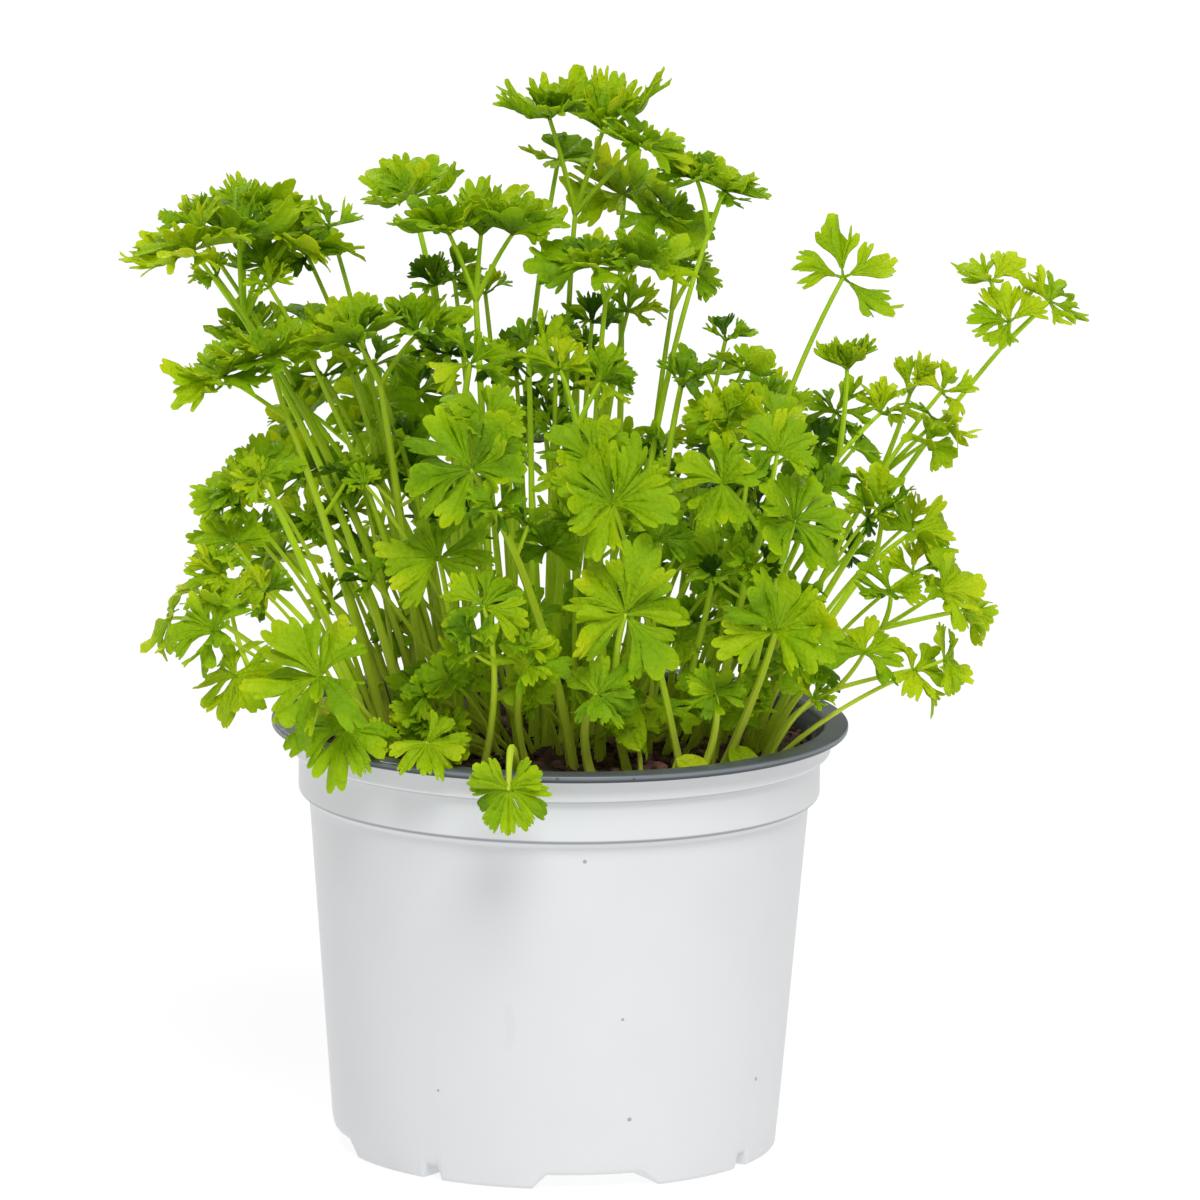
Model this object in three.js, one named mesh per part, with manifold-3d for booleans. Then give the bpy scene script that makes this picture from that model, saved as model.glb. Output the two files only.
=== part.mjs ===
// Curled parsley growing in a round grower's pot. Millimetres, +Z up, -Y is the front,
// origin in the middle of the face that the pot stands on.
import * as THREE from "three";
import { mergeVertices } from "three/addons/utils/BufferGeometryUtils.js";
import Module from "manifold-3d";

const wasm = await Module();
wasm.setup();

// Pot: one formed sheet with a rolled lip, a collar, a band and a tapered wall.
const POT_HEIGHT = 97;
const LIP_RADIUS = 65;
const LIP_DEPTH = 1.9;
const COLLAR_RADIUS = 61;
const COLLAR_FOOT = 90.6;
const BAND_RADIUS = 58.7;
const BAND_FOOT = 81.3;
const NECK_RADIUS = 56.4;
const NECK_HEIGHT = 79.2;
const BASE_RADIUS = 50;
const SHEET = 1.4;
const ROUND = 0.8;
const CHANNEL_HEIGHT = 3.2;
const CENTRE_FOOT_RADIUS = 17;
const CENTRE_FOOT_TAPER = 4;

// Azimuths in one quarter of the pot, from the front towards the right: a small notch, a wide channel
// and the wall between them.
const NOTCH = [-36.2, -34.8, -31.4, -30];
const CHANNEL = [-5.7, -2.1, 23, 28.2];
const BETWEEN = [-18, 10.4, 41];

// Soil: slightly domed, with crumbs as two waves of [per mm of radius, round the pot, height].
const SOIL_LEVEL = 91.5;
const SOIL_CLEARANCE = 0.5;
const SOIL_CROWN = 1.6;
const SOIL_RINGS = [44, 29, 14];
const SOIL_EDGE_DROP = 1;
const CRUMB_WAVES = [[0.9, 3, 0.5], [0.37, -5, 0.6]];

// Stalks, each in its own plain hole in the soil.
const ROOT_DEPTH = 8;
const HOLE_CLEARANCE = 0.35;
const HOLE_HEIGHT = 6;
const STALK_SIDES = 3;
const STALK_STEPS = 3;
const STALK_BASE_RADIUS = 1.25;
const STALK_TOP_RADIUS = 0.8;
const STALK_LEAN = 0.36;
const STALK_RISE = 0.6;
const BRANCH_RADIUS = 0.68;
const BRANCH_STEPS = 2;
const BRANCH_OVERLAP = 0.6;
const BRANCH_BOW = 1.5;

// Leaflets. Angles are in degrees, ranges are shares of the leaflet's length.
const LEAFLET_THICKNESS = 0.7;
const LEAFLET_GAP = 6;
const LEAFLET_HALF_ANGLE = 44;
const LEAFLET_SWING = 5;
const LEAFLET_RANGE = [0.92, 1.08];
const SIDE_LEAFLET_FALL = 0.001;
const LOBE_FALL = 0.14;
const LOBE_RANGE = [0.93, 1.07];
const CUT_RANGE = [0.6, 0.72];
const LOBE_LIFT = 0.035;
const CROTCH_RADIUS = 1.6;
const SMALL_LEAFLET = 13.5;
const LOW_FROND = 150;
const SIMPLIFY = 0.02;

// Where the leaflets of a spray point, in degrees round its hub from the way the stalk runs, and how many
// lobes each leaflet has, by the number of leaflets.
const SPREADS = {
  3: [0, 105, -105],
  4: [-36, 36, 108, -108],
  5: [0, 64, -64, 127, -127],
};
const LOBES = { 3: 4, 4: 3, 5: 3 };
const SMALL_LOBES = { 3: 3, 4: 2, 5: 2 };

const WHITE_PLASTIC = new THREE.MeshStandardMaterial({ color: 0xe9ebec, roughness: 0.45, metalness: 0 });
const SOIL_BROWN = new THREE.MeshStandardMaterial({ color: 0x2c1c15, roughness: 0.95, metalness: 0 });
const LEAF_GREEN = new THREE.MeshStandardMaterial({ color: 0x5f9a1c, roughness: 0.5, metalness: 0 });
const SPRING_GREEN = new THREE.MeshStandardMaterial({ color: 0x8dbb1c, roughness: 0.5, metalness: 0 });

// Each frond: where its stalk leaves the soil, where the stalk forks if it does, and its sprays of leaflets.
// A spray: x, y, z of its hub, leaflet length, the way its upper side faces (azimuth from the front
// towards the right, elevation), how steeply its leaflets rise from that plane, and how many there are.
const FRONDS = [
  // high on the left
  { root: [-34, 3], fork: [-72, 5, 186], sprays: [
    [-73, 5, 205, 19, -60, 82, 26, 5],
    [-72, 18, 208, 16, 170, 80, 22, 3],
    [-83, -3, 201, 18, -70, 74, 16, 4],
    [-62, 9, 203, 18, 60, 74, 16, 4],
    [-68, 12, 197, 12, 0, 60, 14, 4],
  ] },
  { root: [-15, 4], fork: [-20, 0, 192], sprays: [
    [-26, -4, 207, 15, -60, 84, 34, 3],
    [-19, 2, 206, 16, 10, 86, 54, 4],
    [-12, -3, 207, 15, 70, 84, 34, 3],
  ] },
  { root: [-20, 14], fork: null, sprays: [[-36, 23, 209, 15, -30, 72, 30, 4]] },
  // the top
  { root: [3, 6], fork: [2, 6, 211], sprays: [
    [-4, 4, 232, 15, -40, 84, 48, 4],
    [8, 9, 229, 18, 20, 84, 50, 4],
    [16, 0, 227, 14, 60, 72, 28, 4],
  ] },
  { root: [-11, 10], fork: null, sprays: [[-2, 16, 219, 11, -30, 76, 24, 3]] },
  { root: [14, -2], fork: [32, 1, 208], sprays: [
    [29, 2, 219, 12, 0, 82, 32, 3],
    [35, 0, 217, 12, 50, 72, 24, 4],
  ] },
  { root: [9, 15], fork: [12, 13, 201], sprays: [
    [13, 18, 213, 16, 0, 66, 8, 4],
    [22, 8, 210, 13, 60, 60, 8, 3],
  ] },
  { root: [16, 6], fork: [24, 5, 190], sprays: [
    [25, 9, 200, 10, 0, 72, 20, 4],
    [29, 12, 197, 10, 60, 50, 5, 4],
  ] },
  { root: [7, -10], fork: [9, -10, 194], sprays: [
    [6, -10, 201, 14, -50, 80, 24, 3],
    [16, -11, 202, 14, 60, 78, 22, 3],
  ] },
  // high on the right
  { root: [33, 2], fork: null, sprays: [[62, 5, 197, 16, 34, 42, 12, 4]] },
  { root: [42, 0], fork: [98, 0, 183], sprays: [
    [95, 2, 197, 11, -20, 80, 22, 3],
    [108, 0, 193, 12, 60, 50, 8, 4],
    [99, -4, 189, 12, 0, 40, 2, 4],
  ] },
  { root: [35, -6], fork: [62, 0, 158], sprays: [
    [63, -5, 178, 11, 0, 84, 52, 4],
    [71, 7, 166, 10, 60, 70, 20, 4],
  ] },
  { root: [42, -8], fork: [71, -4, 154], sprays: [
    [77, -8, 173, 12, 10, 72, 40, 4],
    [83, -13, 168, 11, 60, 58, 14, 4],
    [81, -12, 163, 9, 30, 44, 8, 3],
  ] },
  // right
  { root: [45, -12], fork: [70, -11, 136], sprays: [
    [71, -13, 147, 11, -10, 74, 30, 3],
    [78, -10, 142, 13, 50, 46, 6, 5],
  ] },
  { root: [46, -17], fork: [72, -18, 122], sprays: [
    [73, -23, 131, 11, -10, 62, 28, 4],
    [84, -27, 132, 12, 40, 46, 8, 4],
    [92, -15, 127, 11, 70, 34, -6, 4],
  ] },
  { root: [47, -24], fork: [62, -27, 110], sprays: [
    [67, -33, 119, 12, 20, 46, 10, 4],
    [78, -31, 115, 13, 50, 36, 0, 4],
  ] },
  { root: [38, -26], fork: null, sprays: [[51, -42, 150, 15, 20, 26, 10, 5]] },
  { root: [34, -22], fork: [44, -38, 147], sprays: [
    [35, -46, 159, 13, -15, 34, 12, 5],
    [47, -41, 165, 12, 20, 40, 14, 4],
  ] },
  { root: [36, -33], fork: null, sprays: [[47, -51, 127, 17, 5, 34, 16, 5]] },
  { root: [26, 4], fork: [36, 4, 166], sprays: [
    [40, -2, 177, 10, 30, 78, 36, 3],
    [32, 10, 174, 11, -20, 78, 18, 4],
  ] },
  { root: [21, -5], fork: null, sprays: [[26, -8, 174, 11, 0, 74, 30, 4]] },
  { root: [30, 8], fork: null, sprays: [[46, 18, 167, 13, 30, 66, 10, 4]] },
  { root: [30, -12], fork: [41, -13, 155], sprays: [
    [36, -18, 168, 12, -20, 62, 24, 4],
    [46, -11, 167, 11, 30, 62, 20, 3],
  ] },
  { root: [24, -16], fork: null, sprays: [[34, -25, 137, 11, 0, 48, 10, 4]] },
  { root: [31, -41], fork: null, sprays: [[34, -46, 112, 9, 0, 50, 12, 5]] },
  // middle of the left side
  { root: [-39, -3], fork: [-62, -2, 165], sprays: [
    [-76, -9, 175, 15, -70, 68, 10, 3],
    [-66, -8, 180, 14, -50, 74, 12, 3],
  ] },
  { root: [-26, 8], fork: [-61, 17, 167], sprays: [
    [-70, 17, 180, 13, -40, 74, 24, 4],
    [-59, 24, 181, 11, 30, 80, 34, 3],
  ] },
  { root: [-31, 6], fork: null, sprays: [[-51, 5, 183, 12, -20, 78, 36, 4]] },
  { root: [-29, 1], fork: [-41, -8, 174], sprays: [
    [-46, -13, 184, 16, -50, 78, 36, 4],
    [-33, -9, 185, 15, 50, 76, 32, 4],
  ] },
  { root: [-22, -9], fork: null, sprays: [[-21, -25, 181, 12, 20, 52, 10, 4]] },
  { root: [-6, -6], fork: null, sprays: [[-8, -15, 182, 13, -30, 60, 12, 4]] },
  { root: [-3, -12], fork: [3, -26, 168], sprays: [
    [-1, -29, 181, 11, -20, 50, 10, 4],
    [8, -27, 178, 10, 30, 58, 16, 4],
  ] },
  { root: [-26, 15], fork: [-38, 22, 152], sprays: [
    [-42, 24, 163, 14, -30, 44, 0, 4],
    [-33, 28, 166, 13, 20, 50, 5, 4],
  ] },
  { root: [-42, -7], fork: [-64, -8, 146], sprays: [
    [-73, -12, 151, 12, -40, 50, 8, 5],
    [-67, -4, 154, 10, 0, 74, 30, 3],
  ] },
  { root: [-38, 11], fork: null, sprays: [[-59, 24, 147, 15, -10, 58, 8, 4]] },
  { root: [-44, -12], fork: [-67, -11, 129], sprays: [
    [-76, -7, 137, 10, -60, 48, 8, 4],
    [-73, -16, 139, 11, -10, 44, 8, 4],
  ] },
  { root: [-46, -17], fork: [-76, -17, 121], sprays: [
    [-80, -20, 128, 10, -40, 52, 14, 4],
    [-87, -13, 121, 11, -70, 38, -10, 3],
  ] },
  // low on the left
  { root: [-47, -21], fork: [-69, -30, 112], sprays: [
    [-73, -30, 126, 11, -30, 80, 44, 3],
    [-72, -32, 112, 13, -35, 34, -2, 5],
  ] },
  { root: [-39, -22], fork: null, sprays: [[-53, -48, 115, 17, -20, 34, 8, 5]] },
  { root: [-38, -33], fork: null, sprays: [[-47, -48, 103, 14, -20, 46, -4, 4]] },
  { root: [-25, -42], fork: null, sprays: [[-29, -56, 102, 11, -20, 44, 0, 4]] },
  // front
  { root: [3, -33], fork: null, sprays: [[-20, -50, 162, 17, -8, 24, 10, 5]] },
  { root: [-9, -20], fork: null, sprays: [[-17, -40, 170, 12, 0, 36, 12, 4]] },
  { root: [-22, -22], fork: null, sprays: [[-27, -44, 141, 15, -10, 30, 8, 5]] },
  { root: [-17, -40], fork: null, sprays: [[-17, -58, 133, 13, -20, 42, -6, 4]] },
  { root: [9, -27], fork: null, sprays: [[6, -44, 163, 14, 5, 28, 12, 4]] },
  { root: [27, -37], fork: null, sprays: [[11, -51, 155, 17, 5, 32, 8, 5]] },
  { root: [15, -36], fork: null, sprays: [[14, -54, 131, 18, 8, 10, 0, 5]] },
  { root: [7, -42], fork: null, sprays: [[8, -54, 113, 11, 0, 32, 5, 4]] },
  { root: [-7, -38], fork: null, sprays: [[-7, -53, 119, 11, -10, 36, 8, 4]] },
  { root: [-9, -47], fork: null, over: [-11, -72, 113], sprays: [[-11, -75, 96, 12, -5, 12, -6, 5]] },
  // back
  { root: [-24, 28], fork: [-46, 48, 148], sprays: [
    [-58, 46, 158, 16, -110, 56, 10, 4],
    [-40, 56, 153, 13, -160, 50, 8, 4],
  ] },
  { root: [2, 34], fork: [0, 56, 138], sprays: [
    [-12, 60, 148, 16, -160, 56, 12, 4],
    [10, 62, 146, 16, 160, 54, 12, 4],
  ] },
  { root: [27, 28], fork: [42, 46, 142], sprays: [
    [38, 54, 152, 13, 150, 54, 10, 4],
    [52, 44, 150, 15, 110, 56, 10, 4],
  ] },
  { root: [-34, 24], fork: null, sprays: [[-64, 42, 126, 16, -110, 44, 5, 4]] },
  { root: [-10, 42], fork: null, sprays: [[-24, 68, 130, 13, -165, 36, 5, 4]] },
  { root: [14, 42], fork: null, sprays: [[22, 68, 132, 16, 165, 36, 5, 4]] },
  { root: [38, 24], fork: null, sprays: [[46, 48, 116, 15, 150, 44, 5, 4]] },
];

function vector(coordinates) {
  return new THREE.Vector3(...coordinates);
}

// A fixed run of draws between 0 and 1, from a whole number.
function draws(seed) {
  let state = (seed % 2147483646) + 1;
  return () => {
    state = (state * 16807) % 2147483647;
    return state / 2147483647;
  };
}

function within(range, draw) {
  return range[0] + (range[1] - range[0]) * draw();
}

function closedGeometry(points, faces) {
  const geometry = new THREE.BufferGeometry();
  geometry.setAttribute("position", new THREE.Float32BufferAttribute(points.flat(), 3));
  geometry.setIndex(faces.flat());
  return geometry;
}

function toSolid(geometry) {
  const merged = mergeVertices(geometry, 1e-4);
  return new wasm.Manifold(new wasm.Mesh({
    numProp: 3,
    vertProperties: new Float32Array(merged.attributes.position.array),
    triVerts: new Uint32Array(merged.index.array),
  }));
}

function toGeometry(solid) {
  const mesh = solid.getMesh();
  const geometry = new THREE.BufferGeometry();
  geometry.setAttribute("position", new THREE.Float32BufferAttribute(mesh.vertProperties, 3));
  geometry.setIndex(Array.from(mesh.triVerts));
  geometry.computeVertexNormals();
  return geometry;
}

// A profile turned about the axis. profileAt gives [radius, height] pairs for an azimuth, from the axis
// round the outside and back to the axis, with the same number of points at every azimuth.
function turned(azimuths, profileAt) {
  const points = [];
  const faces = [];
  const rows = azimuths.map((azimuth) => profileAt(azimuth));
  const last = rows[0].length - 1;
  points.push([0, 0, rows[0][0][1]]);
  points.push([0, 0, rows[0][last][1]]);
  const inner = last - 1;
  rows.forEach((profile, column) => {
    const angle = THREE.MathUtils.degToRad(azimuths[column]);
    for (let k = 1; k <= inner; k += 1) {
      points.push([profile[k][0] * Math.sin(angle), -profile[k][0] * Math.cos(angle), profile[k][1]]);
    }
  });
  const index = (column, k) => 2 + (column % azimuths.length) * inner + (k - 1);
  for (let column = 0; column < azimuths.length; column += 1) {
    faces.push([0, index(column + 1, 1), index(column, 1)]);
    faces.push([1, index(column, inner), index(column + 1, inner)]);
    for (let k = 1; k < inner; k += 1) {
      faces.push([index(column, k), index(column + 1, k), index(column + 1, k + 1)]);
      faces.push([index(column, k), index(column + 1, k + 1), index(column, k + 1)]);
    }
  }
  return closedGeometry(points, faces);
}

function potAzimuths() {
  const quarter = [...NOTCH, ...CHANNEL, ...BETWEEN].sort((a, b) => a - b);
  return [0, 90, 180, 270].flatMap((start) => quarter.map((azimuth) => start + azimuth));
}

// True where the underside is lifted clear of the ground, under a notch or a channel.
function lifted(azimuth) {
  const inQuarter = ((azimuth + 45 + 360) % 90) - 45;
  return [CHANNEL, NOTCH].some((span) => inQuarter > span[1] - 0.01 && inQuarter < span[2] + 0.01);
}

function potProfile(azimuth) {
  const foot = lifted(azimuth) ? CHANNEL_HEIGHT : 0;
  const floor = CHANNEL_HEIGHT + SHEET;
  const lipFoot = POT_HEIGHT - LIP_DEPTH;
  return [
    [0, 0],
    [CENTRE_FOOT_RADIUS, 0],
    [CENTRE_FOOT_RADIUS + CENTRE_FOOT_TAPER, foot],
    [BASE_RADIUS - ROUND, foot],
    [BASE_RADIUS, foot + ROUND],
    [NECK_RADIUS, NECK_HEIGHT],
    [BAND_RADIUS - ROUND, NECK_HEIGHT + ROUND],
    [BAND_RADIUS, BAND_FOOT],
    [BAND_RADIUS, COLLAR_FOOT - ROUND],
    [COLLAR_RADIUS, COLLAR_FOOT],
    [COLLAR_RADIUS, lipFoot],
    [LIP_RADIUS - ROUND / 2, lipFoot],
    [LIP_RADIUS, POT_HEIGHT - LIP_DEPTH / 2],
    [LIP_RADIUS - ROUND, POT_HEIGHT],
    [COLLAR_RADIUS - SHEET + ROUND, POT_HEIGHT],
    [COLLAR_RADIUS - SHEET, POT_HEIGHT - ROUND],
    [BAND_RADIUS - SHEET, COLLAR_FOOT - 2 * ROUND],
    [BAND_RADIUS - SHEET, BAND_FOOT],
    [NECK_RADIUS - SHEET, NECK_HEIGHT],
    [BASE_RADIUS - SHEET, floor],
    [0, floor],
  ];
}

// A domed, crumbly surface; the crumbs die away towards the wall.
function soilTop(radius, azimuth) {
  const angle = THREE.MathUtils.degToRad(azimuth);
  let crumbs = 0;
  for (const [along, round, height] of CRUMB_WAVES) {
    crumbs += Math.sin(radius * along + round * angle) * height;
  }
  const dome = SOIL_CROWN * (1 - (radius / NECK_RADIUS) ** 2);
  return SOIL_LEVEL + dome + crumbs * Math.max(0, 1 - radius / NECK_RADIUS);
}

function soilProfile(azimuth) {
  const gap = SHEET + SOIL_CLEARANCE;
  const floor = CHANNEL_HEIGHT + gap;
  return [
    [0, floor],
    [BASE_RADIUS - gap, floor],
    [NECK_RADIUS - gap, NECK_HEIGHT],
    [BAND_RADIUS - gap, BAND_FOOT],
    [BAND_RADIUS - gap, COLLAR_FOOT - SOIL_EDGE_DROP],
    ...SOIL_RINGS.map((radius) => [radius, soilTop(radius, azimuth)]),
    [0, SOIL_LEVEL + SOIL_CROWN],
  ];
}

// A closed tube of straight stretches through the points, with a flat end at each.
function tube(path, radii, sides) {
  const points = [];
  const faces = [];
  let side = new THREE.Vector3(1, 0, 0);
  path.forEach((point, ring) => {
    const before = path[Math.max(ring - 1, 0)];
    const after = path[Math.min(ring + 1, path.length - 1)];
    const along = after.clone().sub(before).normalize();
    side = side.clone().addScaledVector(along, -side.dot(along)).normalize();
    const up = along.clone().cross(side);
    for (let k = 0; k < sides; k += 1) {
      const turn = (2 * Math.PI * k) / sides;
      const corner = point.clone().addScaledVector(side, radii[ring] * Math.cos(turn));
      points.push(corner.addScaledVector(up, radii[ring] * Math.sin(turn)).toArray());
    }
  });
  for (let ring = 0; ring < path.length - 1; ring += 1) {
    for (let k = 0; k < sides; k += 1) {
      const a = ring * sides + k;
      const b = ring * sides + ((k + 1) % sides);
      faces.push([a, b, b + sides]);
      faces.push([a, b + sides, a + sides]);
    }
  }
  const top = (path.length - 1) * sides;
  for (let k = 1; k < sides - 1; k += 1) {
    faces.push([0, k + 1, k]);
    faces.push([top, top + k, top + k + 1]);
  }
  return closedGeometry(points, faces);
}

function bend(start, control, end, share) {
  const point = start.clone().multiplyScalar((1 - share) ** 2);
  point.addScaledVector(control, 2 * share * (1 - share));
  return point.addScaledVector(end, share ** 2);
}

// The stalk rises first and leans out later, so its control point is high and near the root.
function stalkControl(start, end) {
  const reach = end.clone().sub(start);
  return start.clone().add(reach.multiply(new THREE.Vector3(STALK_LEAN, STALK_LEAN, STALK_RISE)));
}

function curve(start, control, end, steps) {
  const path = [];
  for (let step = 0; step <= steps; step += 1) {
    path.push(bend(start, control, end, step / steps));
  }
  return path;
}

function direction(azimuth, elevation) {
  const across = THREE.MathUtils.degToRad(azimuth);
  const rise = THREE.MathUtils.degToRad(elevation);
  return new THREE.Vector3(Math.cos(rise) * Math.sin(across), -Math.cos(rise) * Math.cos(across), Math.sin(rise));
}

// The lobed edge of one fan-shaped leaflet: [distance from the hub, angle off its middle, lift] at each
// lobe's tip and at each cut between two lobes.
function leafletEdge(length, halfAngle, lobes, draw) {
  const edge = [];
  for (let lobe = 0; lobe < lobes; lobe += 1) {
    const share = (2 * lobe) / (lobes - 1) - 1;
    const reach = length * (1 - LOBE_FALL * share * share) * within(LOBE_RANGE, draw);
    edge.push([reach, share * halfAngle, LOBE_LIFT]);
    if (lobe < lobes - 1) {
      const cut = share + 1 / (lobes - 1);
      edge.push([length * within(CUT_RANGE, draw), cut * halfAngle, -LOBE_LIFT]);
    }
  }
  return edge;
}

// One spray as a thin arched blade cut down to the hub between its leaflets. Both faces have the same
// triangles: each vertex is a middle point with an offset to the upper and the lower face.
function sprayBlade(spray, arriving) {
  const [x, y, z, length, azimuth, elevation, cup, count] = spray;
  const draw = draws((x + 200) * 1009 + (y + 200) * 9176 + z * 131);
  const hub = new THREE.Vector3(x, y, z);
  const facing = direction(azimuth, elevation);
  const forward = arriving.clone().addScaledVector(facing, -arriving.dot(facing)).normalize();
  const rise = THREE.MathUtils.degToRad(cup);
  const turns = SPREADS[count];
  const halfSpacing = THREE.MathUtils.degToRad(Math.abs(turns[1] - turns[0]) / 2);
  const widest = THREE.MathUtils.radToDeg(Math.atan(Math.tan(halfSpacing) * Math.cos(rise)));
  const halfAngle = Math.min(widest - LEAFLET_GAP, LEAFLET_HALF_ANGLE);
  const lobes = length < SMALL_LEAFLET ? SMALL_LOBES[count] : LOBES[count];
  const middle = [hub];
  const offsets = [facing];
  const faces = [];
  const rim = [];
  const crotchAt = (angle) => {
    const outward = forward.clone().applyAxisAngle(facing, THREE.MathUtils.degToRad(angle));
    outward.addScaledVector(facing, Math.sin(rise));
    middle.push(hub.clone().addScaledVector(outward, CROTCH_RADIUS));
    offsets.push(facing);
    rim.push(middle.length - 1);
    return middle.length - 1;
  };
  const order = [...turns].sort((a, b) => a - b);
  const firstCrotch = crotchAt((order[0] + order[count - 1] - 360) / 2);
  let crotch = firstCrotch;
  order.forEach((turn, leaflet) => {
    const swung = turn + (draw() - 0.5) * LEAFLET_SWING;
    const outward = forward.clone().applyAxisAngle(facing, THREE.MathUtils.degToRad(swung));
    const along = outward.clone().multiplyScalar(Math.cos(rise)).addScaledVector(facing, Math.sin(rise));
    const normal = facing.clone().multiplyScalar(Math.cos(rise)).addScaledVector(outward, -Math.sin(rise));
    const across = normal.clone().cross(along);
    const size = length * (1 - SIDE_LEAFLET_FALL * Math.abs(turn)) * within(LEAFLET_RANGE, draw);
    const from = crotch;
    const edge = leafletEdge(size, halfAngle, lobes, draw).map(([reach, angle, lift]) => {
      const swing = THREE.MathUtils.degToRad(angle);
      const point = hub.clone().addScaledVector(along, reach * Math.cos(swing));
      point.addScaledVector(across, reach * Math.sin(swing)).addScaledVector(normal, lift * size);
      middle.push(point);
      offsets.push(normal);
      rim.push(middle.length - 1);
      return middle.length - 1;
    });
    const closing = leaflet === count - 1;
    crotch = closing ? firstCrotch : crotchAt((turn + order[leaflet + 1]) / 2);
    for (let k = 0; k < edge.length - 1; k += 1) {
      faces.push([from, edge[k], edge[k + 1]]);
    }
    faces.push([from, edge[edge.length - 1], crotch]);
    faces.push([0, from, crotch]);
  });
  return thickened(middle, offsets, faces, rim);
}

// A blade from its middle surface: the same triangles above and below, joined round the rim.
function thickened(middle, offsets, faces, rim) {
  const half = LEAFLET_THICKNESS / 2;
  const count = middle.length;
  const points = [
    ...middle.map((point, k) => point.clone().addScaledVector(offsets[k], half).toArray()),
    ...middle.map((point, k) => point.clone().addScaledVector(offsets[k], -half).toArray()),
  ];
  const closed = [];
  for (const [a, b, c] of faces) {
    closed.push([a, b, c], [count + a, count + c, count + b]);
  }
  rim.forEach((a, k) => {
    const b = rim[(k + 1) % rim.length];
    closed.push([a, count + a, count + b], [a, count + b, b]);
  });
  return toSolid(closedGeometry(points, closed));
}

function rootPoint(frond) {
  const radius = Math.hypot(frond.root[0], frond.root[1]);
  const azimuth = THREE.MathUtils.radToDeg(Math.atan2(frond.root[0], -frond.root[1]));
  return new THREE.Vector3(frond.root[0], frond.root[1], soilTop(radius, azimuth));
}

function mainStalk(frond) {
  const start = rootPoint(frond);
  const end = vector(frond.fork ?? frond.sprays[0].slice(0, 3));
  const control = frond.over ? vector(frond.over) : stalkControl(start, end);
  const lean = control.clone().sub(start).normalize();
  return { start, end, control, lean };
}

function frondSolid(frond) {
  const { start, end, control, lean } = mainStalk(frond);
  const path = [start.clone().addScaledVector(lean, -ROOT_DEPTH), ...curve(start, control, end, STALK_STEPS)];
  const last = path.length - 1;
  const radii = path.map((_, k) => THREE.MathUtils.lerp(STALK_BASE_RADIUS, STALK_TOP_RADIUS, k / last));
  const solids = [toSolid(tube(path, radii, STALK_SIDES))];
  for (const spray of frond.sprays) {
    let arriving = end.clone().sub(control).normalize();
    if (frond.fork) {
      const hub = vector(spray.slice(0, 3));
      const leaving = end.clone().addScaledVector(arriving, -BRANCH_OVERLAP);
      const branchControl = leaving.clone().lerp(hub, 0.5).addScaledVector(arriving, BRANCH_BOW);
      const branch = curve(leaving, branchControl, hub, BRANCH_STEPS);
      solids.push(toSolid(tube(branch, branch.map(() => BRANCH_RADIUS), STALK_SIDES)));
      arriving = hub.clone().sub(branchControl).normalize();
    }
    solids.push(sprayBlade(spray, arriving));
  }
  return wasm.Manifold.union(solids).simplify(SIMPLIFY);
}

function stalkHole(frond) {
  const { start, lean } = mainStalk(frond);
  const foot = start.clone().addScaledVector(lean, -ROOT_DEPTH - HOLE_CLEARANCE);
  const top = start.clone().addScaledVector(lean, HOLE_HEIGHT);
  const radius = STALK_BASE_RADIUS + HOLE_CLEARANCE / Math.cos(Math.PI / STALK_SIDES);
  return toSolid(tube([foot, top], [radius, radius], STALK_SIDES));
}

// Fronds that grow through each other become one body, so that no two bodies overlap.
function fuseCrossing(solids) {
  const owner = solids.map((_, k) => k);
  const find = (k) => (owner[k] === k ? k : find(owner[k]));
  for (let a = 0; a < solids.length; a += 1) {
    for (let b = a + 1; b < solids.length; b += 1) {
      if (find(a) !== find(b) && !solids[a].intersect(solids[b]).isEmpty()) {
        owner[find(b)] = find(a);
      }
    }
  }
  const groups = new Map();
  solids.forEach((_, k) => {
    const members = groups.get(find(k)) ?? [];
    groups.set(find(k), [...members, k]);
  });
  return groups;
}

function addMesh(group, name, solid, material) {
  const mesh = new THREE.Mesh(toGeometry(solid), material);
  mesh.name = name;
  group.add(mesh);
}

const group = new THREE.Group();
const azimuths = potAzimuths();
addMesh(group, "pot", toSolid(turned(azimuths, potProfile)), WHITE_PLASTIC);

const holes = wasm.Manifold.union(FRONDS.map(stalkHole));
const soilAzimuths = azimuths.filter((_, k) => k % 2 === 0);
addMesh(group, "soil", toSolid(turned(soilAzimuths, soilProfile)).subtract(holes), SOIL_BROWN);

const solids = FRONDS.map(frondSolid);
for (const [first, members] of fuseCrossing(solids)) {
  const body = wasm.Manifold.union(members.map((k) => solids[k]));
  const low = FRONDS[first].sprays[0][2] < LOW_FROND;
  addMesh(group, `frond_${String(first + 1).padStart(2, "0")}`, body, low ? SPRING_GREEN : LEAF_GREEN);
}

export default group;
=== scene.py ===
import math

import bpy
import numpy as np
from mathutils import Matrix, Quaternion, Vector, noise


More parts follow.
